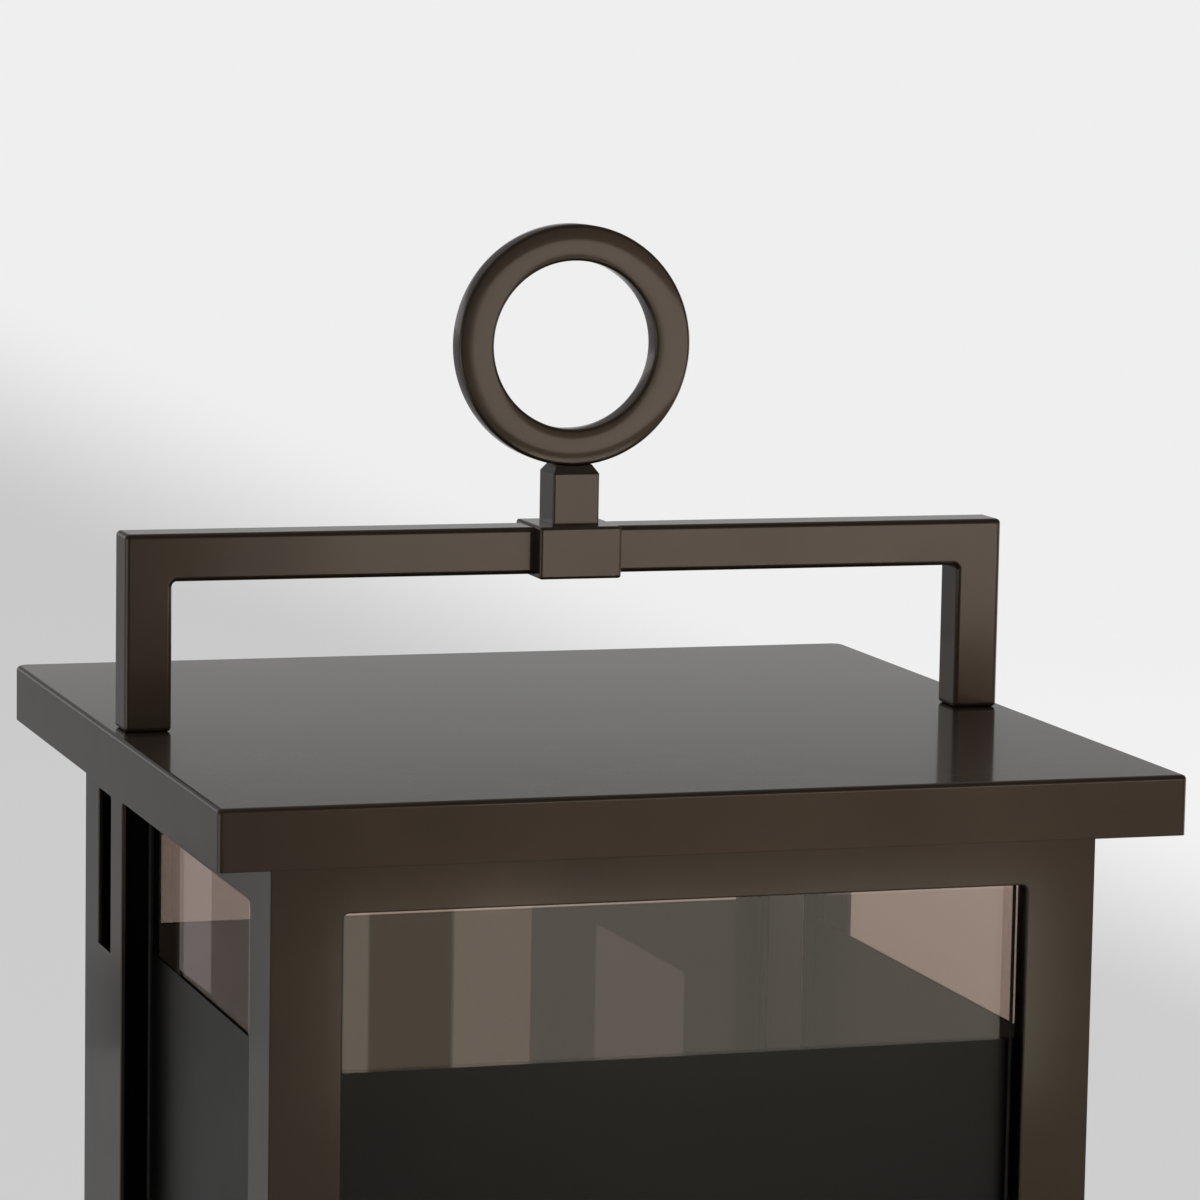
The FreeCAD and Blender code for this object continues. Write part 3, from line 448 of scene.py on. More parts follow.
@dataclass(frozen=True, kw_only=True)
class PaintFinish(Finish):
    """Metal-flake paint under a clear lacquer, with faint clouds of tone, worn edges and a little dust, and
    where asked painted shade, near black, in window reveals and on a cover's back.
    """

    worn: Colour
    worn_edge: float = 0.9 * MM
    wear: float = 0.1
    dust: float = 0.03
    dust_tone: Colour = seen_as(128, 120, 108)
    metallic: float = 0.88
    lacquer: float = 1.0
    lacquer_roughness: float = 0.09
    cloud_scale: float = 14.0
    patch_scale: float = 26.0
    grain: Grain = Grain(900.0, 0.04, 0.25 * MM, 0.5 * MM)
    # Painted shade: faces nearer the middle than this, the window reveals, turn near black without lacquer.
    painted_shade_below: float | None = None
    reveal_painted_shade_tone: Colour = seen_as(12, 9, 8)
    # Painted shade: faces farther than this from the middle, as on a cover's back, turn near black.
    painted_shade_beyond: float | None = None
    backing_painted_shade_tone: Colour = seen_as(14, 12, 10)

    def colour(self, net: NodeNet, effects: Effects) -> Socket:
        """Wear and dust the clouded tones, and lay painted shade, near black, in a window's reveals and on a
        cover's back where the finish asks for it.

        Args:
            net: The material's net.
            effects: The shared node groups.

        Returns:
            The colour.
        """
        tone = net.effect(effects.wear, Color=super().colour(net, effects), Worn=self.worn,
                          Radius=self.worn_edge, Amount=self.wear)
        tone = net.effect(effects.dust, Color=tone, Dust=self.dust_tone, Amount=self.dust)
        # Painted shade: the window reveals turn near black.
        if self.painted_shade_below:
            tone = net.mix(self.painted_reveal_shade_mask(net), tone, self.reveal_painted_shade_tone)
        # Painted shade: the cover's back, beyond its inner face, turns near black.
        if self.painted_shade_beyond:
            across = net.add("SeparateXYZ", {0: net.place()}).outputs["X"]
            backing = net.sum("GREATER_THAN", net.sum("ABSOLUTE", across), self.painted_shade_beyond)
            tone = net.mix(backing, tone, self.backing_painted_shade_tone)
        return tone

    def plain_values(self) -> dict[str, float]:
        """Give the flakes' and the lacquer's values."""
        return {"Metallic": self.metallic, "Coat Weight": self.lacquer,
                "Coat Roughness": self.lacquer_roughness}

    def complete(self, net: NodeNet, shader: bpy.types.Node) -> None:
        """Leave the lacquer off the reveals, which carry painted shade."""
        if self.painted_shade_below:
            net.feed(shader.inputs["Coat Weight"], net.sum("SUBTRACT", self.lacquer, self.painted_reveal_shade_mask(net)))

    def painted_reveal_shade_mask(self, net: NodeNet) -> Socket:
        """Find where the painted shade goes: what lies deeper than the walls' outer faces, as the windows'
        reveals do.

        Args:
            net: The material's net.

        Returns:
            1 there and 0 on the outer faces.
        """
        parts = net.add("SeparateXYZ", {0: net.place()}).outputs
        across, along = (net.sum("ABSOLUTE", parts[axis]) for axis in "XY")
        return net.sum("LESS_THAN", net.sum("MAXIMUM", across, along), self.painted_shade_below)


@dataclass(frozen=True, kw_only=True)
class MetalFinish(Finish):
    """Bare or plated metal with fine level lines, as from turning."""

    metallic: float = 1.0
    cloud_scale: float = 120.0
    line_scale: float = 380.0
    line_spread: Pair = (0.3, 0.7)
    stretch: Place = (1.0, 1.0, 12.0)
    grain: Grain = Grain(1500.0, 0.06, 0.1 * MM, 0.25 * MM)

    def rough(self, net: NodeNet, effects: Effects) -> Socket:
        """Vary the roughness in level lines."""
        place = net.add("Mapping", {"Vector": net.place(), "Scale": Vector(self.stretch)}).outputs[0]
        return net.scaled(net.noise(place, self.line_scale, detail=4.0), self.line_spread, self.roughness)

    def plain_values(self) -> dict[str, float]:
        """Give the metal's value."""
        return {"Metallic": self.metallic}


@dataclass(frozen=True, kw_only=True)
class GlassFinish(Finish):
    """Tinted glass that lets lamplight through, clear or etched."""

    ripple: float
    ripple_scale: float = 22.0
    ripple_height: float = 0.2 * MM
    refraction: float = 1.5
    cloud_scale: float = 9.0
    patch_scale: float = 40.0

    def normal(self, net: NodeNet, effects: Effects) -> Socket:
        """Ripple the surface."""
        wave = net.noise(net.place(), self.ripple_scale, detail=1.0)
        return net.add("Bump", {"Strength": self.ripple, "Distance": self.ripple_height,
                                "Height": wave}).outputs[0]

    def plain_values(self) -> dict[str, float]:
        """Give the glass's values."""
        return {"Transmission Weight": 1.0, "IOR": self.refraction}

    def complete(self, net: NodeNet, shader: bpy.types.Node) -> None:
        """Pass the rays that test for lamps straight through, so that the inside is lit.

        Args:
            net: The material's net.
            shader: The glass shader.
        """
        clear = net.add("BsdfTransparent", {"Color": self.tones[0]})
        shadow = net.add("LightPath").outputs["Is Shadow Ray"]
        choice = net.add("MixShader", {0: shadow, 1: shader.outputs[0], 2: clear.outputs[0]})
        net.show(choice.outputs[0])


@dataclass(frozen=True, kw_only=True)
class CeramicFinish(Finish):
    """Glazed or opal white ware with faint specks."""

    glaze: float
    glaze_roughness: float = 0.05
    depth: float = 0.0
    depth_scale: float = 4 * MM
    cloud_scale: float = 60.0
    patch_scale: float = 90.0
    grain: Grain = Grain(300.0, 0.05, 0.15 * MM, 0.4 * MM)

    def plain_values(self) -> dict[str, float]:
        """Give the glaze's and the ware's values."""
        return {"Coat Weight": self.glaze, "Coat Roughness": self.glaze_roughness,
                "Subsurface Weight": self.depth, "Subsurface Scale": self.depth_scale}


@dataclass(frozen=True, kw_only=True)
class RubberFinish(Finish):
    """Black rubber or putty with a dusty bloom."""

    cloud_scale: float = 80.0
    patch_scale: float = 120.0
    grain: Grain = Grain(700.0, 0.3, 0.2 * MM, 0.3 * MM)


BRONZE_PAINT = PaintFinish(
    name="satin_bronze_paint", tones=(seen_as(91, 77, 64), seen_as(85, 72, 60)),
    worn=seen_as(120, 102, 85), roughness=(0.40, 0.44))
FINISHES: dict[str, Finish] = {
    # Wall frames' paint with painted shade in the window reveals.
    "walls_with_painted_shade": replace(BRONZE_PAINT, name="satin_bronze_walls_with_painted_shade", painted_shade_below=108.3 * MM),
    "bronze_paint": BRONZE_PAINT,
    "bronze_hardware": MetalFinish(
        name="dark_bronze_hardware", tones=(seen_as(78, 66, 56), seen_as(48, 41, 35)),
        roughness=(0.32, 0.5), metallic=0.85),
    "tinted_glass": GlassFinish(
        name="bronze_tinted_glass", tones=((0.67, 0.57, 0.52), (0.66, 0.56, 0.51)),
        roughness=(0.0, 0.01), ripple=0.002),
    "etched_glass": GlassFinish(
        name="etched_smoke_glass", tones=((0.035, 0.030, 0.024), (0.033, 0.028, 0.022)),
        roughness=(0.28, 0.32), ripple=0.015),
    "plated_steel": MetalFinish(
        name="zinc_plated_steel", tones=(seen_as(196, 196, 190), seen_as(160, 160, 152)),
        roughness=(0.28, 0.45)),
    "white_ceramic": CeramicFinish(
        name="glazed_white_ceramic", tones=(seen_as(232, 229, 220), seen_as(220, 214, 202)),
        roughness=(0.25, 0.35), glaze=0.8),
    "socket_brass": MetalFinish(
        name="socket_brass", tones=(seen_as(214, 178, 104), seen_as(176, 138, 74)), roughness=(0.25, 0.4)),
    "lamp_metal": MetalFinish(
        name="lamp_cap_aluminium", tones=(seen_as(205, 205, 205), seen_as(176, 176, 178)),
        roughness=(0.22, 0.38)),
    "lamp_white": CeramicFinish(
        name="opal_lamp_glass", tones=(seen_as(238, 236, 230), seen_as(230, 227, 219)),
        roughness=(0.18, 0.26), glaze=0.3, depth=0.5),
    "black_rubber": RubberFinish(
        name="black_rubber", tones=(seen_as(24, 23, 22), seen_as(38, 37, 36)), roughness=(0.55, 0.8)),
    # Light grey primer on the column covers' inner faces, made light to stand in for the light seen inside
    # the lantern: a primer tone and painted light; its back gets painted shade.
    "primer_and_painted_light": PaintFinish(
        name="grey_primer_and_painted_light", tones=(seen_as(172, 172, 154), seen_as(166, 165, 147)),
        worn=seen_as(180, 178, 162), roughness=(0.55, 0.65), metallic=0.0, lacquer=0.0,
        painted_shade_beyond=94.9 * MM),
}
# The column covers take the primer with painted light; the wall frames take the paint with painted shade in
# their reveals.
OWN_FINISHES = {
    "left_column_cover": "primer_and_painted_light", "right_column_cover": "primer_and_painted_light",
    "front_frame": "walls_with_painted_shade", "left_frame": "walls_with_painted_shade", "right_frame": "walls_with_painted_shade",
}


# ---------------------------------------------------------------- modelling bench
class Bench:
    """Modelling by operators, as by hand: one piece on the bench at a time."""

    @staticmethod
    def clear() -> None:
        """Leave edit mode and deselect everything."""
        if bpy.context.mode != "OBJECT":
            bpy.ops.object.mode_set(mode="OBJECT")
        bpy.ops.object.select_all(action="DESELECT")

    @classmethod
    def take(cls, piece: Piece) -> None:
        """Make one piece the only selected and active one.

        Args:
            piece: The piece to work on.
        """
        cls.clear()
        piece.select_set(True)
        bpy.context.view_layer.objects.active = piece

    @classmethod
    def cylinder(cls, radius: float, low: float, high: float, sides: int = 32) -> Piece:
        """Add an upright cylinder on the vertical axis.

        Args:
            radius: Its radius.
            low: Its lower end.
            high: Its upper end.
            sides: How many sides it has.

        Returns:
            The cylinder.
        """
        cls.clear()
        bpy.ops.mesh.primitive_cylinder_add(vertices=sides, radius=radius, depth=high - low,
                                            location=(0, 0, (low + high) / 2))
        return cls.settle(bpy.context.active_object)

    @classmethod
    def block(cls, low: Iterable[float], high: Iterable[float]) -> Piece:
        """Add a block between two corners.

        Args:
            low: Its lowest corner.
            high: Its highest corner.

        Returns:
            The block.
        """
        cls.clear()
        low, high = Vector(low), Vector(high)
        bpy.ops.mesh.primitive_cube_add(size=1.0, location=(low + high) / 2, scale=high - low)
        return cls.settle(bpy.context.active_object)

    @classmethod
    def settle(cls, piece: Piece) -> Piece:
        """Put a piece's place, turn and scale into its mesh.

        Args:
            piece: The piece.

        Returns:
            The same piece.
        """
        cls.take(piece)
        bpy.ops.object.transform_apply(location=True, rotation=True, scale=True)
        return piece

    @classmethod
    def clear_choice(cls, piece: Piece, kind: str) -> None:
        """Get a piece ready for faces or edges to be selected in code.

        Args:
            piece: The piece.
            kind: FACE or EDGE.
        """
        cls.take(piece)
        bpy.ops.object.mode_set(mode="EDIT")
        bpy.ops.mesh.select_mode(type=kind)
        bpy.ops.mesh.select_all(action="DESELECT")
        cls.leave()

    @staticmethod
    def leave() -> None:
        """Leave edit mode."""
        bpy.ops.object.mode_set(mode="OBJECT")

    @classmethod
    def edit_faces(cls, piece: Piece, test: Test) -> None:
        """Open a piece for editing with some faces selected.

        Args:
            piece: The piece.
            test: True for the centre and normal of a wanted face.
        """
        cls.clear_choice(piece, "FACE")
        for face in piece.data.polygons:
            face.select = test(face.center, face.normal)
        bpy.ops.object.mode_set(mode="EDIT")

    @classmethod
    def edit_edges(cls, piece: Piece, test: Test) -> None:
        """Open a piece for editing with some edges selected.

        Args:
            piece: The piece.
            test: True for the two ends of a wanted edge.
        """
        cls.clear_choice(piece, "EDGE")
        points = piece.data.vertices
        for edge in piece.data.edges:
            edge.select = test(points[edge.vertices[0]].co, points[edge.vertices[1]].co)
        bpy.ops.object.mode_set(mode="EDIT")

    @classmethod
    def bevel(cls, piece: Piece, test: Test, width: float, segments: int) -> None:
        """Round some edges of a piece.

        Args:
            piece: The piece.
            test: True for the two ends of a wanted edge.
            width: The bevel's width.
            segments: Its number of steps.
        """
        cls.edit_edges(piece, test)
        bpy.ops.mesh.bevel(offset=width, segments=segments)
        cls.leave()

    @classmethod
    def draw_shank(cls, head: Piece, step: float, length: float) -> None:
        """Draw a shank down out of a head that stands on the level z = 0.

        Args:
            head: The head.
            step: How far the shank stands back from the rim of the head's underside.
            length: The shank's length.
        """
        cls.edit_faces(head, lambda centre, normal: centre.z < TINY and normal.z < -FACING)
        bpy.ops.mesh.inset(thickness=step)
        bpy.ops.mesh.extrude_region_move(TRANSFORM_OT_translate={"value": (0, 0, -length)})
        cls.leave()

    @classmethod
    def cut(cls, piece: Piece, tool: Piece) -> None:
        """Cut a tool's shape out of a piece and delete the tool.

        Args:
            piece: The piece that stays.
            tool: The tool.
        """
        cls.take(piece)
        modifier = piece.modifiers.new("cut", "BOOLEAN")
        modifier.operation = "DIFFERENCE"
        modifier.solver = "EXACT"
        modifier.object = tool
        bpy.ops.object.modifier_apply(modifier=modifier.name)
        bpy.data.objects.remove(tool, do_unlink=True)

    @classmethod
    def smooth(cls, piece: Piece, degrees: float = 35.0) -> None:
        """Shade a piece smooth up to an angle, with its normals outwards.

        Args:
            piece: The piece.
            degrees: The sharpest angle that is still smooth.
        """
        cls.take(piece)
        bpy.ops.object.mode_set(mode="EDIT")
        bpy.ops.mesh.select_all(action="SELECT")
        bpy.ops.mesh.remove_doubles(threshold=TINY / 10)
        bpy.ops.mesh.normals_make_consistent(inside=False)
        cls.leave()
        bpy.ops.object.shade_smooth_by_angle(angle=math.radians(degrees))

    @classmethod
    def copies(cls, model: Piece, name: str, places: Iterable[Matrix]) -> Piece:
        """Copy a modelled piece to several places and join the copies.

        Args:
            model: The piece as modelled, which is deleted.
            name: The joined piece's name.
            places: Where each copy goes.

        Returns:
            The joined piece.
        """
        made = []
        for place in places:
            copy = bpy.data.objects.new(name, model.data.copy())
            copy.data.transform(place)
            bpy.context.scene.collection.objects.link(copy)
            made.append(copy)
        bpy.data.objects.remove(model, do_unlink=True)
        cls.take(made[0])
        for copy in made:
            copy.select_set(True)
        if len(made) > 1:
            bpy.ops.object.join()
        made[0].name = name
        return made[0]


# ---------------------------------------------------------------- sub-assemblies
@dataclass
class SubAssembly:
    """What every sub-assembly shares: the materials by slot, and how a new piece is finished and reported."""

    materials: dict[str, Material]

    def dress(self, piece: Piece, slot: str, body: Body, stands_for: Iterable[str] = ()) -> None:
        """Give a piece its finish, its slot and the body that it rides on.

        Args:
            piece: The piece.
            slot: The material slot.
            body: The body that carries it.
            stands_for: Nodes that the piece replaces.
        """
        piece.data.materials.clear()
        piece.data.materials.append(self.materials[slot])
        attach(piece, body.value)
        if stands_for:
            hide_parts(*stands_for)
        LOG.info("%s: %d faces, %s, on %s", piece.name, len(piece.data.polygons), slot, body.value)


@dataclass
class Screws(SubAssembly):
    """Screws with real heads in place of the plain ones, and the small screws of clips and hinges.

    A share is taken of the head's radius or height.
    """

    head_radius: float = 3.6 * MM
    head_height: float = 2.4 * MM
    shank_radius: float = 1.98 * MM
    small_radius: float = 2.3 * MM
    small_height: float = 0.9 * MM
    rounding_share: float = 0.5
    rounding_steps: int = 4
    recess_share: float = 0.62
    recess_width_share: float = 0.2
    recess_floor_share: float = 0.45
    apart_share: float = 2.2

    def head(self, radius: float, height: float) -> Piece:
        """Model one cross-recessed head that stands on the level z = 0.

        Args:
            radius: Its radius.
            height: Its height.

        Returns:
            The head.
        """
        head = Bench.cylinder(radius, 0.0, height)
        Bench.bevel(head, lambda a, b: min(a.z, b.z) > height - TINY, self.rounding_share * height,
                    self.rounding_steps)
        reach, half = self.recess_share * radius, self.recess_width_share * radius
        for x, y in ((reach, half), (half, reach)):
            floor = self.recess_floor_share * height
            Bench.cut(head, Bench.block((-x, -y, floor), (x, y, 2 * height)))
        return head

    def screw(self, length: float) -> Piece:
        """Model one whole screw: head above z = 0, shank below.

        Args:
            length: The shank's length.

        Returns:
            The screw.
        """
        screw = self.head(self.head_radius, self.head_height)
        Bench.draw_shank(screw, self.head_radius - self.shank_radius, length)
        Bench.smooth(screw)
        return screw

    def replace_group(self, node: str, heads_up: bool) -> None:
        """Replace a node of plain screws.

        Args:
            node: The node's name.
            heads_up: True where the heads stand on their seat, false where they hang.
        """
        low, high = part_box(node)
        length = high.z - low.z - self.head_height
        seat = high.z - self.head_height if heads_up else low.z + self.head_height
        flip = Matrix.Identity(4) if heads_up else Matrix.Rotation(math.pi, 4, "X")
        places = [Matrix.Translation((x, y, seat)) @ flip for x, y in self.middles(node)]
        group = Bench.copies(self.screw(length), node + "_cross_heads", places)
        self.dress(group, "plated_steel", Body.LANTERN, (node,))

    def middles(self, node: str) -> list[Pair]:
        """Find the middle of each screw of a node in plan.

        Args:
            node: The node's name.

        Returns:
            One place for each screw.
        """
        groups: list[list[Vector]] = []
        reach = self.apart_share * self.head_radius
        for vertex in bpy.data.objects[node].data.vertices:
            flat = Vector((vertex.co.x, vertex.co.y))
            near = [group for group in groups if (group[0] - flat).length < reach]
            if near:
                near[0].append(flat)
            else:
                groups.append([flat])
        places = []
        for group in groups:
            xs = [point.x for point in group]
            ys = [point.y for point in group]
            places.append(((min(xs) + max(xs)) / 2, (min(ys) + max(ys)) / 2))
        return places

    def small_heads(self, name: str, body: Body, places: list[Matrix], slot: str) -> None:
        """Place small heads.

        Args:
            name: The joined piece's name.
            body: The body that carries them.
            places: Where each head goes, with its axis along z.
            slot: The material slot.
        """
        head = self.head(self.small_radius, self.small_height)
        Bench.smooth(head)
        group = Bench.copies(head, name, places)
        self.dress(group, slot, body)

    def build(self) -> None:
        """Build the cross-headed screws in place of the plain ones."""
        for node in ("fitter_screws", "bracket_screws"):
            self.replace_group(node, heads_up=True)
        for node in ("wall_screws", "roof_screws"):
            self.replace_group(node, heads_up=False)


@dataclass
class Glazing(SubAssembly):
    """Putty beads round each pane and the screws of the pane clips."""

    bead: float = 0.7 * MM
    bead_depth: float = 0.7 * MM
    bead_rounding: float = 0.595 * MM
    bead_steps: int = 3
    pane_lap: float = 4.5 * MM
    clip_spread: float = 42.0 * MM
    clip_foot: float = 5.4 * MM
    clip_sheet: float = 1.2 * MM
    clip_riser: float = 0.3 * MM

    def pane_plan(self, wall: Wall) -> tuple[Vector, Vector]:
        """Give the corners of a wall's glass, clear and etched together, as seen in the front position.

        Args:
            wall: The wall.

        Returns:
            Its lowest and highest corner.
        """
        names = (wall.label + "_pane", wall.label + "_etched_pane")
        corners = [wall.turn.inverted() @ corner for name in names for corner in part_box(name)]
        low = Vector([min(values) for values in zip(*corners)])
        high = Vector([max(values) for values in zip(*corners)])
        return low, high

    def bead_round(self, wall: Wall) -> None:
        """Lay the bead between a pane and its frame, on the outside.

        Args:
            wall: The wall.
        """
        low, high = self.pane_plan(wall)
        edge = self.pane_lap
        Bench.clear()
        bpy.ops.mesh.primitive_plane_add(size=1.0, rotation=(math.pi / 2, 0, 0))
        piece = bpy.context.active_object
        piece.name = wall.label + "_glazing_bead"
        piece.scale = (high.x - low.x - 2 * edge, high.z - low.z - 2 * edge, 1.0)
        piece.location = ((low.x + high.x) / 2, low.y, (low.z + high.z) / 2)
        Bench.settle(piece)
        Bench.edit_faces(piece, lambda centre, normal: True)
        bpy.ops.mesh.inset(thickness=self.bead)
        bpy.ops.mesh.delete(type="FACE")
        Bench.leave()
        Bench.take(piece)
        solid = piece.modifiers.new("depth", "SOLIDIFY")
        solid.thickness = self.bead_depth
        solid.offset = 1.0
        bpy.ops.object.modifier_apply(modifier=solid.name)
        Bench.smooth(piece)
        inner_x = (high.x - low.x) / 2 - edge - self.bead + TINY
        centre_x = (low.x + high.x) / 2
        inner_low, inner_high = low.z + edge + self.bead - TINY, high.z - edge - self.bead + TINY

        def on_inner_front(a: Vector, b: Vector) -> bool:
            """True for the rim nearest the middle of the glass, on the outer face."""
            return all(point.y < low.y - self.bead_depth / 2 and abs(point.x - centre_x) < inner_x
                       and inner_low < point.z < inner_high for point in (a, b))

        Bench.bevel(piece, on_inner_front, self.bead_rounding, self.bead_steps)
        piece.data.transform(wall.turn)
        Bench.smooth(piece)
        self.dress(piece, "black_rubber", wall.body)

    def clip_screw_places(self, wall: Wall) -> list[Matrix]:
        """Find where each clip is screwed to its frame.

        Args:
            wall: The wall.

        Returns:
            One place for each screw.
        """
        low, high = self.pane_plan(wall)
        middle = (low.x + high.x) / 2
        reach = self.clip_riser + self.clip_foot
        seat = low.y + self.clip_sheet
        facing = Matrix.Rotation(-math.pi / 2, 4, "X")
        return [wall.turn @ Matrix.Translation((middle + side * self.clip_spread, seat, level)) @ facing
                for side in (-1, 1) for level in (high.z + reach, low.z - reach)]

    def build(self, screws: Screws) -> None:
        """Build the beads and the clip screws of all walls.

        Args:
            screws: The screws' sub-assembly, which models the heads.
        """
        for wall in Wall:
            self.bead_round(wall)
            screws.small_heads(wall.label + "_clip_screws", wall.body, self.clip_screw_places(wall),
                               "plated_steel")


@dataclass
class DoorHardware(SubAssembly):
    """The hinge screws."""

    screw_rise: float = 13.0 * MM
    leaf_middle: float = 6.65 * MM
    leaf_thickness: float = 1.5 * MM
    leaf_height: float = 40.0 * MM

    def hinge_screw_places(self, side: int) -> list[Matrix]:
        """Find the screws of the leaves on one side of the pins.

        Args:
            side: 1 for the frame's leaves, -1 for the door's.

        Returns:
            One place for each screw.
        """
        low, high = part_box("hinge_pins")
        pin_x = (low.x + high.x) / 2
        leaf_low, leaf_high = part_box("hinge_frame_leaves")
        seat = leaf_low.y + self.leaf_thickness
        facing = Matrix.Rotation(-math.pi / 2, 4, "X")
        middles = (leaf_low.z + self.leaf_height / 2, leaf_high.z - self.leaf_height / 2)
        return [Matrix.Translation((pin_x + side * self.leaf_middle, seat, middle + rise)) @ facing
                for middle in middles for rise in (-self.screw_rise, 0.0, self.screw_rise)]

    def build(self, screws: Screws) -> None:
        """Build the screws of both hinges.

        Args:
            screws: The screws' sub-assembly, which models the heads.
        """
        screws.small_heads("hinge_frame_screws", Body.LANTERN, self.hinge_screw_places(1), "bronze_hardware")
        screws.small_heads("hinge_door_screws", Body.DOOR, self.hinge_screw_places(-1), "bronze_hardware")


@dataclass
class Handle(SubAssembly):
    """The round-edged ring of the bail handle."""

    eye_radius: float = 22.7 * MM
    ring_edge: float = 0.9 * MM
    ring_sides: int = 160
    edge_steps: int = 4

    def build(self) -> None:
        """Model the flat ring with round edges, in place of the chamfered one."""
        low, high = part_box("top_ring")
        outer = (high.x - low.x) / 2
        half = (high.y - low.y) / 2
        middle = (low + high) / 2
        ring = Bench.cylinder(outer, -half, half, sides=self.ring_sides)
        Bench.edit_faces(ring, lambda centre, normal: abs(normal.z) > FACING)
        bpy.ops.mesh.inset(thickness=outer - self.eye_radius)
        bpy.ops.mesh.bridge_edge_loops()
        Bench.leave()
        Bench.bevel(ring, lambda a, b: abs(a.z - b.z) < TINY and abs(a.xy.length - b.xy.length) < TINY,
                    self.ring_edge, self.edge_steps)
        ring.data.transform(Matrix.Translation(middle) @ Matrix.Rotation(math.pi / 2, 4, "X"))
        Bench.smooth(ring)
        ring.name = "round_edged_ring"
        self.dress(ring, "bronze_paint", Body.LANTERN, ("top_ring",))


@dataclass
class Lamp(SubAssembly):
    """The lamp's threaded cap."""

    pitch: float = 3.63 * MM
    crest: float = 13.1 * MM
    root: float = 12.35 * MM
    steps: int = 48
    profile_points: int = 8
    spare_turns: int = 2
    insulator_radius: float = 9.5 * MM
    insulator_height: float = 3.0 * MM
    contact_radius: float = 4.5 * MM
    contact_height: float = 2.0 * MM
    contact_edge: float = 0.8 * MM
    contact_steps: int = 3
    smooth_to: float = 50.0

    def thread(self, low: float, high: float) -> Piece:
        """Model the rolled thread between two levels.

        Args:
            low: Its lower end.
            high: Its upper end.

        Returns:
            The thread as a closed shape.
        """
        Bench.clear()
        bpy.ops.mesh.primitive_plane_add(size=self.pitch, rotation=(math.pi / 2, 0, 0),
                                         location=(self.root + self.pitch / 2, 0, low - self.pitch / 2))
        thread = Bench.settle(bpy.context.active_object)
        Bench.edit_edges(thread, lambda a, b: max(a.x, b.x) > self.root + TINY)
        bpy.ops.mesh.delete(type="EDGE")
        bpy.ops.mesh.select_all(action="SELECT")
        bpy.ops.mesh.subdivide(number_cuts=self.profile_points - 1)
        Bench.leave()
        start = low - self.pitch
        for point in thread.data.vertices:
            wave = 0.5 - 0.5 * math.cos(2 * math.pi * (point.co.z - start) / self.pitch)
            point.co.x = self.root + (self.crest - self.root) * wave
        Bench.take(thread)
        spin = thread.modifiers.new("spin", "SCREW")
        spin.screw_offset = self.pitch
        spin.iterations = math.ceil((high - low) / self.pitch) + self.spare_turns
        spin.steps = spin.render_steps = self.steps
        spin.use_merge_vertices = True
        spin.merge_threshold = TINY
        bpy.ops.object.modifier_apply(modifier=spin.name)
        for level, way in ((low, -1), (high, 1)):
            Bench.take(thread)
            bpy.ops.object.mode_set(mode="EDIT")
            bpy.ops.mesh.select_all(action="SELECT")
            bpy.ops.mesh.bisect(plane_co=(0, 0, level), plane_no=(0, 0, way), use_fill=True, clear_outer=True)
            Bench.leave()
        return thread

    def build(self) -> None:
        """Build the threaded cap with its insulator and contact."""
        low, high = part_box("lamp_cap")
        insulator_low = low.z + self.contact_height
        thread_low = insulator_low + self.insulator_height
        thread = self.thread(thread_low, high.z)
        cone = Bench.cylinder(self.root, insulator_low, thread_low + TINY, sides=self.steps)
        Bench.edit_faces(cone, lambda centre, normal: normal.z < -FACING)
        shrink = self.insulator_radius / self.root
        bpy.ops.transform.resize(value=(shrink, shrink, 1.0), center_override=(0, 0, insulator_low))
        Bench.leave()
        contact = Bench.cylinder(self.contact_radius, low.z, insulator_low + TINY)
        Bench.bevel(contact, lambda a, b: max(a.z, b.z) < low.z + TINY, self.contact_edge, self.contact_steps)
        Bench.take(thread)
        contact.select_set(True)
        bpy.ops.object.join()
        thread.name = "threaded_lamp_cap"
        cone.name = "lamp_cap_insulator"
        Bench.smooth(thread, self.smooth_to)
        Bench.smooth(cone)
        self.dress(thread, "lamp_metal", Body.LAMP, ("lamp_cap",))
        self.dress(cone, "black_rubber", Body.LAMP)


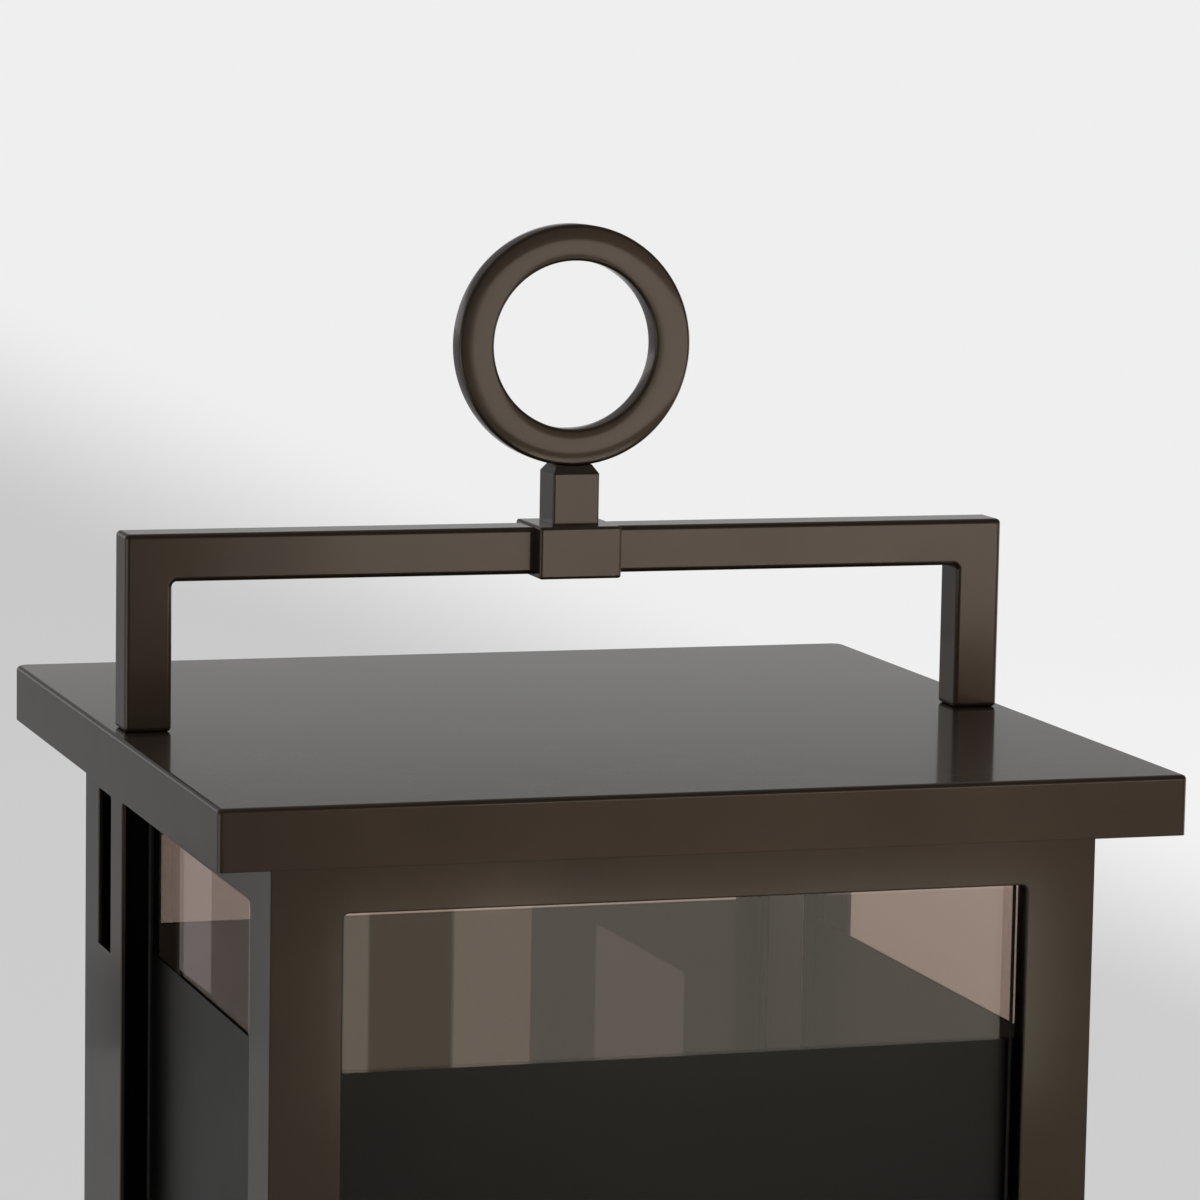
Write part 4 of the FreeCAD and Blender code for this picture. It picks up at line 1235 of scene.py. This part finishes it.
@dataclass
class ThumbScrews(SubAssembly):
    """The knurled clamping screws of the fitter."""

    angles: tuple[float, ...] = (90.0, 210.0, 330.0)
    knurls: int = 36
    knurl_depth: float = 0.25 * MM
    knurl_margin: float = 0.12 * MM
    head_height: float = 4.0 * MM
    head_edge: float = 0.35 * MM
    edge_steps: int = 2
    socket_share: float = 0.5
    socket_floor_share: float = 0.4
    socket_sides: int = 6
    level: float = 32.0 * MM
    shank_radius: float = 2.98 * MM
    smooth_to: float = 30.0

    def screw(self, radius: float, length: float) -> Piece:
        """Model one screw along z: head above z = 0, shank below.

        Args:
            radius: The head's radius.
            length: The shank's length.

        Returns:
            The screw.
        """
        screw = Bench.cylinder(radius, 0.0, self.head_height, sides=self.knurls)
        Bench.bevel(screw, lambda a, b: abs(a.z - b.z) < TINY, self.head_edge, self.edge_steps)
        Bench.edit_faces(screw, lambda centre, normal: abs(normal.z) < 1.0 - FACING)
        bpy.ops.mesh.inset(thickness=self.knurl_margin, depth=-self.knurl_depth, use_individual=True)
        Bench.leave()
        Bench.draw_shank(screw, radius - self.head_edge - self.shank_radius, length)
        socket = Bench.cylinder(self.socket_share * radius, self.socket_floor_share * self.head_height,
                                2 * self.head_height, sides=self.socket_sides)
        Bench.cut(screw, socket)
        Bench.smooth(screw, self.smooth_to)
        return screw

    def build(self) -> None:
        """Build the three screws, each on its own body."""
        low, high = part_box("set_screw_1")
        radius = (high.x - low.x) / 2
        length = high.y - low.y - self.head_height
        seat = high.y - self.head_height
        for number, angle in enumerate(self.angles, start=1):
            place = (Matrix.Rotation(math.radians(angle), 4, "Z") @ Matrix.Translation((seat, 0, self.level))
                     @ Matrix.Rotation(math.pi / 2, 4, "Y"))
            name = "set_screw_" + str(number)
            piece = Bench.copies(self.screw(radius, length), "knurled_" + name, [place])
            self.dress(piece, "bronze_hardware", Body("clamp_" + str(number)), (name,))


# ---------------------------------------------------------------- studio
@dataclass(frozen=True)
class Card:
    """An upright card across the depth of the studio, which only mirrors see.

    Its lower and its upper edge are each given by their levels at the left and the right end.
    """

    name: str
    depth: float
    left: float
    right: float
    low: Pair
    high: Pair
    tone: Colour

    def corners(self) -> list[Place]:
        """Give its corners in turn."""
        return [(self.left, self.depth, self.low[0]), (self.right, self.depth, self.low[1]),
                (self.right, self.depth, self.high[1]), (self.left, self.depth, self.high[0])]


@dataclass(frozen=True)
class Softbox:
    """A soft lamp that mirrors don't see, with its power in watts."""

    name: str
    place: Place
    aim: Place
    width: float
    height: float
    power: float


ON_FLOOR = (0.0, 0.0)
LOW_TOP = (0.118, 0.118)
SOFT_LOW, SOFT_TOP = (0.23, 0.23), (0.53, 0.53)
CARDS = (
    Card("front_grey_card", -1.502, 0.284, 0.69, ON_FLOOR, LOW_TOP, (1.5, 1.42, 1.17)),
    Card("front_edge_card", -1.5, 0.284, 0.2975, ON_FLOOR, LOW_TOP, (2.35, 2.0, 1.53)),
    Card("front_dim_card", -1.5, 0.2985, 0.345, ON_FLOOR, LOW_TOP, (1.0, 0.8, 0.53)),
    Card("front_white_card", -1.5, 0.3465, 0.3905, ON_FLOOR, LOW_TOP, (2.8, 2.3, 1.83)),
    Card("front_slant_card", -1.5, 0.428, 0.48, ON_FLOOR, (0.103, 0.073), (2.25, 1.95, 1.65)),
    Card("left_black_card", 1.502, -0.483, -0.42, ON_FLOOR, (0.12, 0.12), (0.0, 0.0, 0.0)),
    Card("left_grey_card", 1.5, -0.46, -0.42, (0.03, 0.0626), (0.12, 0.12), (0.24, 0.21, 0.21)),
    Card("edge_card", -0.9, -2.4, -1.5, ON_FLOOR, (0.6, 0.6), (1.6, 1.55, 1.5)),
    Card("soft_card_1", -1.51, 0.20, 0.26, SOFT_LOW, SOFT_TOP, (0.3, 0.26, 0.22)),
    Card("soft_card_2", -1.51, 0.26, 0.32, SOFT_LOW, SOFT_TOP, (0.85, 0.75, 0.64)),
    Card("soft_card_3", -1.51, 0.32, 1.20, SOFT_LOW, SOFT_TOP, (1.6, 1.4, 1.2)),
)
SOFTBOXES = (
    Softbox("top_softbox", (-0.1, -0.4, 1.9), (0, 0, 0.4), 1.4, 1.4, 12.0),
    Softbox("left_softbox", (-2.2, -0.2, 1.3), (0, 0, 0.35), 1.2, 1.6, 6.0),
    Softbox("right_softbox", (1.5, -1.8, 1.3), (0, 0, 0.4), 1.2, 1.2, 14.0),
    Softbox("rear_softbox", (1.4, 2.2, 1.5), (0, 0, 0.35), 1.4, 1.4, 8.0),
)


@dataclass
class Studio:
    """A wide pale floor, soft lamps, cards for the mirrors and an even world.

    The floor darkens along a slanting sweep, from the far right towards the near left.
    A pair of numbers is a stretch: what it is named for comes or goes from the first to the second.
    """

    floor_radius: float = 60.0
    floor_sides: int = 96
    camera_distance: float = 1.337
    least_depth: float = 0.5
    ahead: Place = (0.3027, 0.9531, 0.0)
    aside: Place = (0.9531, -0.3027, 0.0)
    sweep_near: float = 12.98
    sweep_side: float = 8.77
    sweep: Pair = (2.37, 3.37)
    close_by: Pair = (2.4, 1.0)
    far_off: Pair = (8.0, 16.0)
    near_tone: Colour = seen_as(210, 210, 210)
    far_tone: Colour = seen_as(252, 252, 252)
    sky_tone: Colour = seen_as(239, 239, 239)
    floor_tone: Colour = seen_as(222, 221, 219)
    floor_roughness: float = 0.9
    seen_share: float = 0.85
    front_to_rear: Pair = (-1.0, 1.0)
    floor_mirror: Pair = (0.06, 0.26)
    side_mirror: float = 0.9
    beside_middle: float = -0.2
    beside_across: Pair = (0.6, 1.8)
    beside_along: Pair = (1.3, 0.5)
    behind_across: Pair = (0.0, 0.8)
    behind_along: Pair = (0.3, 1.2)
    sky_light: Colour = (0.90, 0.92, 0.95)
    sky_turn: Pair = (-0.3, 0.5)
    sky_front: float = 0.2
    sky_mirror_rise: Pair = (0.13, 0.19)
    sky_mirror: Pair = (0.50, 0.17)
    sky_strength: float = 0.35

    def sweep_share(self, net: NodeNet, place: Socket) -> Socket:
        """Work out how far down the sweep a place on the floor lies.

        Args:
            net: The floor material's net.
            place: The place.

        Returns:
            0 for the far tone and 1 for the near one.
        """
        along, side = (net.add("VectorMath", {0: place, 1: way}, operation="DOT_PRODUCT").outputs["Value"]
                       for way in (self.ahead, self.aside))
        depth = net.sum("MAXIMUM", net.sum("ADD", along, self.camera_distance), self.least_depth)
        slope = net.sum("SUBTRACT", self.sweep_near, net.sum("MULTIPLY", side, self.sweep_side))
        fields = {0: net.sum("DIVIDE", slope, depth), 1: self.sweep[0], 2: self.sweep[1]}
        swept = net.add("MapRange", fields, interpolation_type="SMOOTHSTEP").outputs[0]
        nearby = net.sum("MAXIMUM", swept, net.scaled(depth, self.close_by))
        reach = net.add("VectorMath", {0: place}, operation="LENGTH").outputs["Value"]
        return net.sum("MULTIPLY", nearby, net.scaled(reach, self.far_off, (1.0, 0.0)))

    def mirror_share(self, net: NodeNet, place: Socket) -> Socket:
        """Work out how bright mirrors show a place on the floor.

        Args:
            net: The floor material's net.
            place: The place.

        Returns:
            Its share: low in front, more behind, and most beside the lantern and far to its right rear.
        """
        parts = net.add("SeparateXYZ", {0: place}).outputs
        across, along = parts["X"], parts["Y"]
        bright = (0.0, self.side_mirror)
        off_middle = net.sum("ABSOLUTE", net.sum("SUBTRACT", along, self.beside_middle))
        beside = net.sum("MULTIPLY", net.scaled(net.sum("ABSOLUTE", across), self.beside_across, bright),
                         net.scaled(off_middle, self.beside_along))
        behind = net.sum("MULTIPLY", net.scaled(across, self.behind_across, bright),
                         net.scaled(along, self.behind_along))
        plain = net.scaled(along, self.front_to_rear, self.floor_mirror)
        return net.sum("ADD", plain, net.sum("MAXIMUM", beside, behind))

    @staticmethod
    def shown(net: NodeNet, mirror: Socket) -> tuple[Socket, Socket]:
        """Tell the rays that see the studio from those that are lit by it.

        Args:
            net: The net of the floor's material or the world.
            mirror: How bright mirrors show the studio.

        Returns:
            1 for a ray that sees, and the strength that it sees.
        """
        rays = net.add("LightPath").outputs
        clear = net.sum("MAXIMUM", rays["Is Camera Ray"], rays["Is Transmission Ray"])
        mirrored = net.sum("MULTIPLY", rays["Is Glossy Ray"], mirror)
        return net.sum("MAXIMUM", clear, rays["Is Glossy Ray"]), net.sum("MAXIMUM", clear, mirrored)

    def floor(self) -> None:
        """Lay the floor, dimmer in mirrors in front than behind, and out of sight from below."""
        Bench.clear()
        bpy.ops.mesh.primitive_circle_add(vertices=self.floor_sides, radius=self.floor_radius,
                                          fill_type="NGON")
        floor = bpy.context.active_object
        floor.name = "studio_floor"
        material, net, shader = new_material("studio_floor")
        net.fill(shader, {"Base Color": self.floor_tone, "Roughness": self.floor_roughness})
        place = net.place()
        tone = net.mix(self.sweep_share(net, place), self.far_tone, self.near_tone)
        seen, strength = self.shown(net, self.mirror_share(net, place))
        glow = net.add("Emission", {"Color": tone, "Strength": strength})
        choice = net.add("MixShader", {0: net.sum("MULTIPLY", seen, self.seen_share), 1: shader.outputs[0],
                                       2: glow.outputs[0]})
        below = net.sum("MULTIPLY", net.add("NewGeometry").outputs["Backfacing"],
                        net.add("LightPath").outputs["Is Camera Ray"])
        sheer = net.add("BsdfTransparent").outputs[0]
        net.show(net.add("MixShader", {0: below, 1: choice.outputs[0], 2: sheer}).outputs[0])
        floor.data.materials.append(material)

    def world(self) -> None:
        """Light the room evenly, show the sky's tone, and dim its mirror image in front and higher up."""
        world = bpy.data.worlds.new("studio_world")
        bpy.context.scene.world = world
        world.use_nodes = True
        net = NodeNet(world.node_tree)
        lit = net.tree.nodes["Background"]
        net.fill(lit, {"Color": self.sky_light, "Strength": self.sky_strength})
        way = net.add("SeparateXYZ", {0: net.add("TexCoord").outputs["Generated"]})
        turn = net.scaled(way.outputs["Y"], self.sky_turn, (self.sky_front, 1.0))
        rise = net.scaled(way.outputs["Z"], self.sky_mirror_rise, self.sky_mirror)
        mirror = net.sum("MULTIPLY", turn, rise)
        seen, strength = self.shown(net, mirror)
        sky = net.add("Background", {"Color": self.sky_tone, "Strength": strength})
        choice = net.add("MixShader", {0: seen, 1: lit.outputs[0], 2: sky.outputs[0]})
        net.show(choice.outputs[0], "World Output")

    @staticmethod
    def stand(card: Card) -> None:
        """Stand up one card, out of sight of everything but mirrors.

        Args:
            card: The card.
        """
        Bench.clear()
        bpy.ops.mesh.primitive_plane_add(size=1.0)
        piece = bpy.context.active_object
        piece.name = card.name
        for corner, index in zip(card.corners(), piece.data.polygons[0].vertices):
            piece.data.vertices[index].co = corner
        material, net, _ = new_material(card.name)
        glow = net.add("Emission", {"Color": card.tone})
        net.show(glow.outputs[0])
        piece.data.materials.append(material)
        for unseen_by in ("camera", "diffuse", "transmission", "volume_scatter", "shadow"):
            setattr(piece, "visible_" + unseen_by, False)

    @staticmethod
    def hang(softbox: Softbox) -> None:
        """Hang one soft lamp.

        Args:
            softbox: The lamp.
        """
        data = bpy.data.lights.new(softbox.name, "AREA")
        data.shape = "RECTANGLE"
        data.size = softbox.width
        data.size_y = softbox.height
        data.energy = softbox.power
        lamp = bpy.data.objects.new(softbox.name, data)
        lamp.location = softbox.place
        way = Vector(softbox.aim) - Vector(softbox.place)
        lamp.rotation_euler = way.to_track_quat("-Z", "Y").to_euler()
        lamp.visible_glossy = False
        bpy.context.scene.collection.objects.link(lamp)

    def build(self) -> None:
        """Build floor, world, cards and lamps."""
        self.floor()
        self.world()
        for card in CARDS:
            self.stand(card)
        for softbox in SOFTBOXES:
            self.hang(softbox)
        LOG.info("studio: floor, world, %d cards and %d lamps", len(CARDS), len(SOFTBOXES))


@dataclass
class Viewpoint:
    """The camera, at the place and turn that a fit to the picture gave."""

    place: Place = (-0.4010, -1.2750, 0.6269)
    yaw: float = 0.30754
    pitch: float = 0.12817
    roll: float = 0.01693
    focal_pixels: float = 4969.05
    frame_pixels: float = 1200.0
    centre_pixels: Pair = (581.31, 608.44)
    sensor_mm: float = 36.0
    sight: float = 500.0

    def build(self) -> None:
        """Set up the camera."""
        ahead = Vector((math.sin(self.yaw) * math.cos(self.pitch), math.cos(self.yaw) * math.cos(self.pitch),
                        -math.sin(self.pitch)))
        level_right = Vector((math.cos(self.yaw), -math.sin(self.yaw), 0.0))
        level_up = level_right.cross(ahead)
        right = math.cos(self.roll) * level_right + math.sin(self.roll) * level_up
        up = math.cos(self.roll) * level_up - math.sin(self.roll) * level_right
        data = bpy.data.cameras.new("camera")
        data.sensor_width = self.sensor_mm
        data.lens = self.sensor_mm * self.focal_pixels / self.frame_pixels
        data.shift_x = 0.5 - self.centre_pixels[0] / self.frame_pixels
        data.shift_y = self.centre_pixels[1] / self.frame_pixels - 0.5
        data.clip_end = self.sight
        camera = bpy.data.objects.new("camera", data)
        turn = Matrix((right, up, -ahead)).transposed().to_4x4()
        camera.matrix_world = Matrix.Translation(self.place) @ turn
        bpy.context.scene.collection.objects.link(camera)
        bpy.context.scene.camera = camera
        bpy.context.scene.view_settings.view_transform = "Standard"
        LOG.info("camera: %.1f mm lens", data.lens)


def finish_nodes(frame: dict, materials: dict[str, Material]) -> None:
    """Give every node of the model the finish of its slot.

    Args:
        frame: The loaded frame.
        materials: The materials by slot.
    """
    for part in frame["record"]["subparts"]:
        node = frame["nodes"][part["node"]]
        node.data.materials.clear()
        slot = OWN_FINISHES.get(part["node"], part["material_slot"])
        node.data.materials.append(materials[slot])
        LOG.info("%s: %s", part["node"], slot)


def main() -> None:
    """Build the whole scene around the loaded model."""
    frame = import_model()
    effects = Effects()
    materials = {slot: finish.build(effects) for slot, finish in FINISHES.items()}
    finish_nodes(frame, materials)
    screws = Screws(materials)
    screws.build()
    Glazing(materials).build(screws)
    DoorHardware(materials).build(screws)
    Handle(materials).build()
    Lamp(materials).build()
    ThumbScrews(materials).build()
    Studio().build()
    Viewpoint().build()


if __name__ == "__main__":
    logging.basicConfig(level=logging.INFO, format="%(message)s")
    main()
